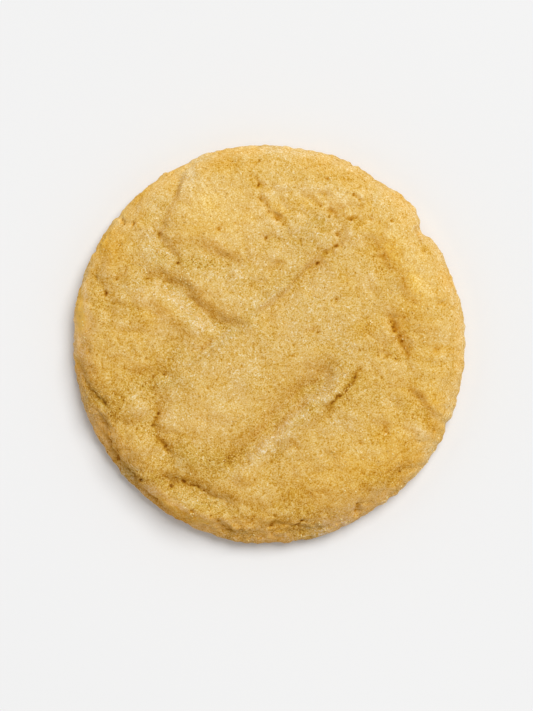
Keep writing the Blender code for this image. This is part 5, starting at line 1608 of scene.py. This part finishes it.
@dataclass
class Scatter:
    """Many small pieces of one kind that lie on the crust, as one mesh.

    The count are spread by chance where sugar lies, in clumps, and each of the named places gets a small
    cluster. Sunk is the share of a piece that lies in the crust, and the tip is how far it leans.
    """

    name: str
    shape: GrainShape
    finish: SugarFinish
    count: int
    sizes: Pair
    sunk: float
    seed: int
    models: int = 6
    bevels: Pair = (0.12, 0.2)
    rough: float = 0.08
    thickness: float = 0.7
    tip: float = 0.25
    clump: float = 0.9
    clump_range: Pair = (-0.15, 0.3)
    between_clumps: float = 0.25
    named: tuple[Pair, ...] = ()
    cluster: int = 3
    cluster_reach: float = 0.35
    least_level: float = 0.15
    most_crack: float = 0.1
    shade: Pair = (0.0, 0.7)

    def model(self, draw: np.random.Generator) -> bpy.types.Object:
        """One small piece of unit size, cut and pushed out of true.

        Args:
            draw: The source of its chance differences.

        Returns:
            The piece, centred on the origin.
        """
        size, *stretches = self.shape.value
        bpy.ops.object.select_all(action="DESELECT")
        if self.shape is GrainShape.CRUMB:
            bpy.ops.mesh.primitive_ico_sphere_add(subdivisions=2, radius=size / 2)
        else:
            bpy.ops.mesh.primitive_cube_add(size=size)
        obj = new_primitive(self.name)
        bpy.ops.object.mode_set(mode="EDIT")
        bpy.ops.mesh.select_all(action="SELECT")
        bpy.ops.transform.resize(value=tuple(draw.uniform(least, most) for least, most in stretches))
        if self.shape is GrainShape.CRYSTAL:
            bpy.ops.mesh.bevel(offset=draw.uniform(*self.bevels), segments=1, affect="EDGES")
        bpy.ops.object.mode_set(mode="OBJECT")
        points = mesh_points(obj.data)
        push = draw.uniform(-self.rough, self.rough, points.shape)
        move_points(obj.data, points + push)
        return obj

    def templates(self, draw: np.random.Generator) -> list[tuple[Array, Array]]:
        """Points and triangles of a few different models, whose objects are then removed."""
        made = []
        for _ in range(self.models):
            obj = self.model(draw)
            made.append((mesh_points(obj.data), triangle_corners(obj.data)))
            bpy.data.objects.remove(obj)
        return made

    def places(self, crust: bpy.types.Mesh, draw: np.random.Generator) -> tuple[Array, Array]:
        """Chance places on the crust.

        Args:
            crust: The crust's mesh.
            draw: The source of the draws.

        Returns:
            The places and the crust's normal at each.
        """
        points = mesh_points(crust)
        corners = triangle_corners(crust)
        normals = point_normals(crust)
        sugar = get_mask(crust, Mask.SUGAR)
        first, second, third = (points[corners[:, k]] for k in range(3))
        area = np.linalg.norm(np.cross(second - first, third - first), axis=1) / 2
        clumps = Wave(self.clump, 1.0, float(self.seed)).at(points / MM)
        sugar = sugar * (self.between_clumps + smoothstep(*self.clump_range, clumps))
        weight = area * sugar[corners].mean(axis=1)
        chosen = draw.choice(len(corners), self.count, p=weight / weight.sum())
        share = draw.dirichlet((1.0, 1.0, 1.0), self.count)
        where = (points[corners[chosen]] * share[:, :, None]).sum(axis=1)
        facing = (normals[corners[chosen]] * share[:, :, None]).sum(axis=1)
        return where, facing / np.linalg.norm(facing, axis=1)[:, None]

    def named_places(self, crust: bpy.types.Mesh, draw: np.random.Generator) -> tuple[Array, Array]:
        """A small cluster at each of the named places.

        Args:
            crust: The crust's mesh.
            draw: The source of the draws.

        Returns:
            The places and the crust's normal at each.
        """
        points = mesh_points(crust)
        normals = point_normals(crust)
        level = normals[:, 2] > self.least_level
        upper = np.flatnonzero(level & (get_mask(crust, Mask.CRACK) < self.most_crack))
        plan = points[upper, :2] / MM
        chosen = []
        for place in self.named:
            for shift in draw.normal(0.0, self.cluster_reach, (self.cluster, 2)):
                chosen.append(upper[np.argmin(((plan - place - shift) ** 2).sum(axis=1))])
        return points[chosen], normals[chosen]

    def turns(self, facing: Array, draw: np.random.Generator) -> Array:
        """A rotation for each piece, turned by chance about the crust's normal and tipped a little.

        Args:
            facing: The crust's normal at each piece.
            draw: The source of the draws.

        Returns:
            One matrix for each piece, whose third column is the piece's own up.
        """
        upright = facing + draw.normal(0.0, self.tip, facing.shape)
        upright /= np.linalg.norm(upright, axis=1)[:, None]
        side = np.cross(upright, draw.normal(0.0, 1.0, facing.shape))
        side /= np.linalg.norm(side, axis=1)[:, None]
        return np.stack([side, np.cross(upright, side), upright], axis=2)

    def build(self, crust: bpy.types.Object, low: Vector, high: Vector) -> bpy.types.Object:
        """Copies the models all over the crust, and leaves out what would reach out of the solid's box.

        Args:
            crust: The crust that they lie on.
            low: The lowest corner of the solid's box.
            high: The highest corner of the solid's box.

        Returns:
            One object that holds all the pieces of this kind.
        """
        draw = np.random.default_rng(self.seed)
        templates = self.templates(draw)
        where, facing = self.places(crust.data, draw)
        if self.named:
            there, upright = self.named_places(crust.data, draw)
            where, facing = np.vstack([where, there]), np.vstack([facing, upright])
        sizes = draw.uniform(*self.sizes, len(where)) * MM
        turns = self.turns(facing, draw)
        centres = where + facing * (sizes * (0.5 - self.sunk) * self.thickness)[:, None]
        kinds = draw.integers(0, len(templates), len(where))
        all_points, all_faces = [], []
        total = 0
        for kind, (shape, faces) in enumerate(templates):
            mine = kinds == kind
            placed = np.einsum("nij,kj->nki", turns[mine], shape) * sizes[mine][:, None, None]
            placed += centres[mine][:, None, :]
            inside = np.all((placed > np.array(low)) & (placed < np.array(high)), axis=(1, 2))
            placed = placed[inside]
            starts = total + len(shape) * np.arange(len(placed))
            all_points.append(placed.reshape(-1, 3))
            all_faces.append((faces[None, :, :] + starts[:, None, None]).reshape(-1, 3))
            total += len(shape) * len(placed)
        mesh = bpy.data.meshes.new(self.name)
        mesh.from_pydata(np.vstack(all_points), [], np.vstack(all_faces))
        # Painted shade on each piece: how far it faces away from the light
        set_mask(mesh, Mask.SHADE, np.clip(turned_away(mesh), *self.shade))
        obj = bpy.data.objects.new(self.name, mesh)
        bpy.context.scene.collection.objects.link(obj)
        mesh.materials.append(self.finish.material())
        return obj


@dataclass
class Studio:
    """Pale floor, one large soft light from the upper right, white surroundings and the camera above."""

    camera_place: tuple[float, float, float] = (-0.60, -2.44, 428.2)
    lens: float = 100.0
    sensor: float = 36.0
    clip_start: float = 10.0
    light_distance: float = 2700.0
    light_size: float = 1700.0
    light_power: float = 58.8
    surroundings: float = 0.50
    floor_size: float = 4000.0
    floor_drop: float = 0.01

    def add_camera(self) -> None:
        """Looks straight down, as the photograph does."""
        bpy.ops.object.camera_add(location=[MM * value for value in self.camera_place], rotation=(0, 0, 0))
        camera = bpy.context.active_object
        camera.data.lens = self.lens
        camera.data.sensor_width = self.sensor
        camera.data.clip_start = self.clip_start * MM
        bpy.context.scene.camera = camera

    def add_light(self) -> None:
        """A large disc that shines on the cookie from the upper right."""
        way = Vector(towards_light())
        turn = way.to_track_quat("Z", "Y").to_euler()
        bpy.ops.object.light_add(type="AREA", location=way * self.light_distance * MM, rotation=turn)
        light = bpy.context.active_object
        light.data.shape = "DISK"
        light.data.size = self.light_size * MM
        light.data.energy = self.light_power

    def add_surroundings(self) -> None:
        """Even white light from all round."""
        world = bpy.data.worlds.new("white_surroundings")
        world.use_nodes = True
        background = world.node_tree.nodes["Background"]
        background.inputs["Color"].default_value = (1.0, 1.0, 1.0, 1.0)
        background.inputs["Strength"].default_value = self.surroundings
        bpy.context.scene.world = world

    def add_floor(self) -> None:
        """The surface that the cookie lies on, a hair lower, so that the two faces don't mix."""
        bpy.ops.object.select_all(action="DESELECT")
        place = (0.0, 0.0, -self.floor_drop * MM)
        bpy.ops.mesh.primitive_plane_add(size=self.floor_size * MM, location=place)
        floor = new_primitive("floor")
        floor.data.materials.append(FloorFinish().material())

    def build(self) -> None:
        """Sets up the whole studio."""
        self.add_floor()
        self.add_light()
        self.add_surroundings()
        self.add_camera()
        bpy.context.scene.view_settings.view_transform = "Standard"


def hand_over(piece: bpy.types.Object) -> None:
    """Puts a finished piece on the cookie's body and reports it."""
    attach(piece, "root")
    LOG.info("%s: %d triangles", piece.name, len(triangle_corners(piece.data)))


def main() -> None:
    """Builds the cookie's pieces and the studio."""
    logging.basicConfig(level=logging.INFO, format="%(name)s: %(message)s")
    box_low, box_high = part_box("cookie")
    crust_maker = Crust(box_low, box_high)
    crust = crust_maker.build()
    crust_maker.dress(crust)
    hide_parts("cookie")
    hand_over(crust)
    crystal = SugarFinish("sugar_crystal", low=(0.78, 0.60, 0.28), high=(0.88, 0.74, 0.44), roughness=0.45)
    grain = SugarFinish("sugar_grain", low=(0.66, 0.43, 0.13), high=(0.77, 0.56, 0.25))
    fine = SugarFinish("sugar_fine", low=(0.64, 0.40, 0.11), high=(0.74, 0.51, 0.20))
    crumb = SugarFinish("crumb_crust", low=(0.56, 0.33, 0.07), high=(0.70, 0.46, 0.15), roughness=0.8)
    scatters = (
        Scatter(
            "sugar_crystals", GrainShape.CRYSTAL, crystal,
            count=120, sizes=(0.22, 0.36), sunk=0.6, seed=11, named=BRIGHT_SUGAR,
        ),
        Scatter(
            "sugar_grains", GrainShape.SPECK, grain, count=6000, sizes=(0.22, 0.38), sunk=0.9, seed=12
        ),
        Scatter(
            "fine_sugar", GrainShape.SPECK, fine, count=10000, sizes=(0.16, 0.30), sunk=0.85, seed=13
        ),
        Scatter("crumbs", GrainShape.CRUMB, crumb, count=900, sizes=(0.3, 0.55), sunk=0.6, seed=14),
    )
    for scatter in scatters:
        hand_over(scatter.build(crust, box_low, box_high))
    Studio().build()


if __name__ == "__main__":
    main()
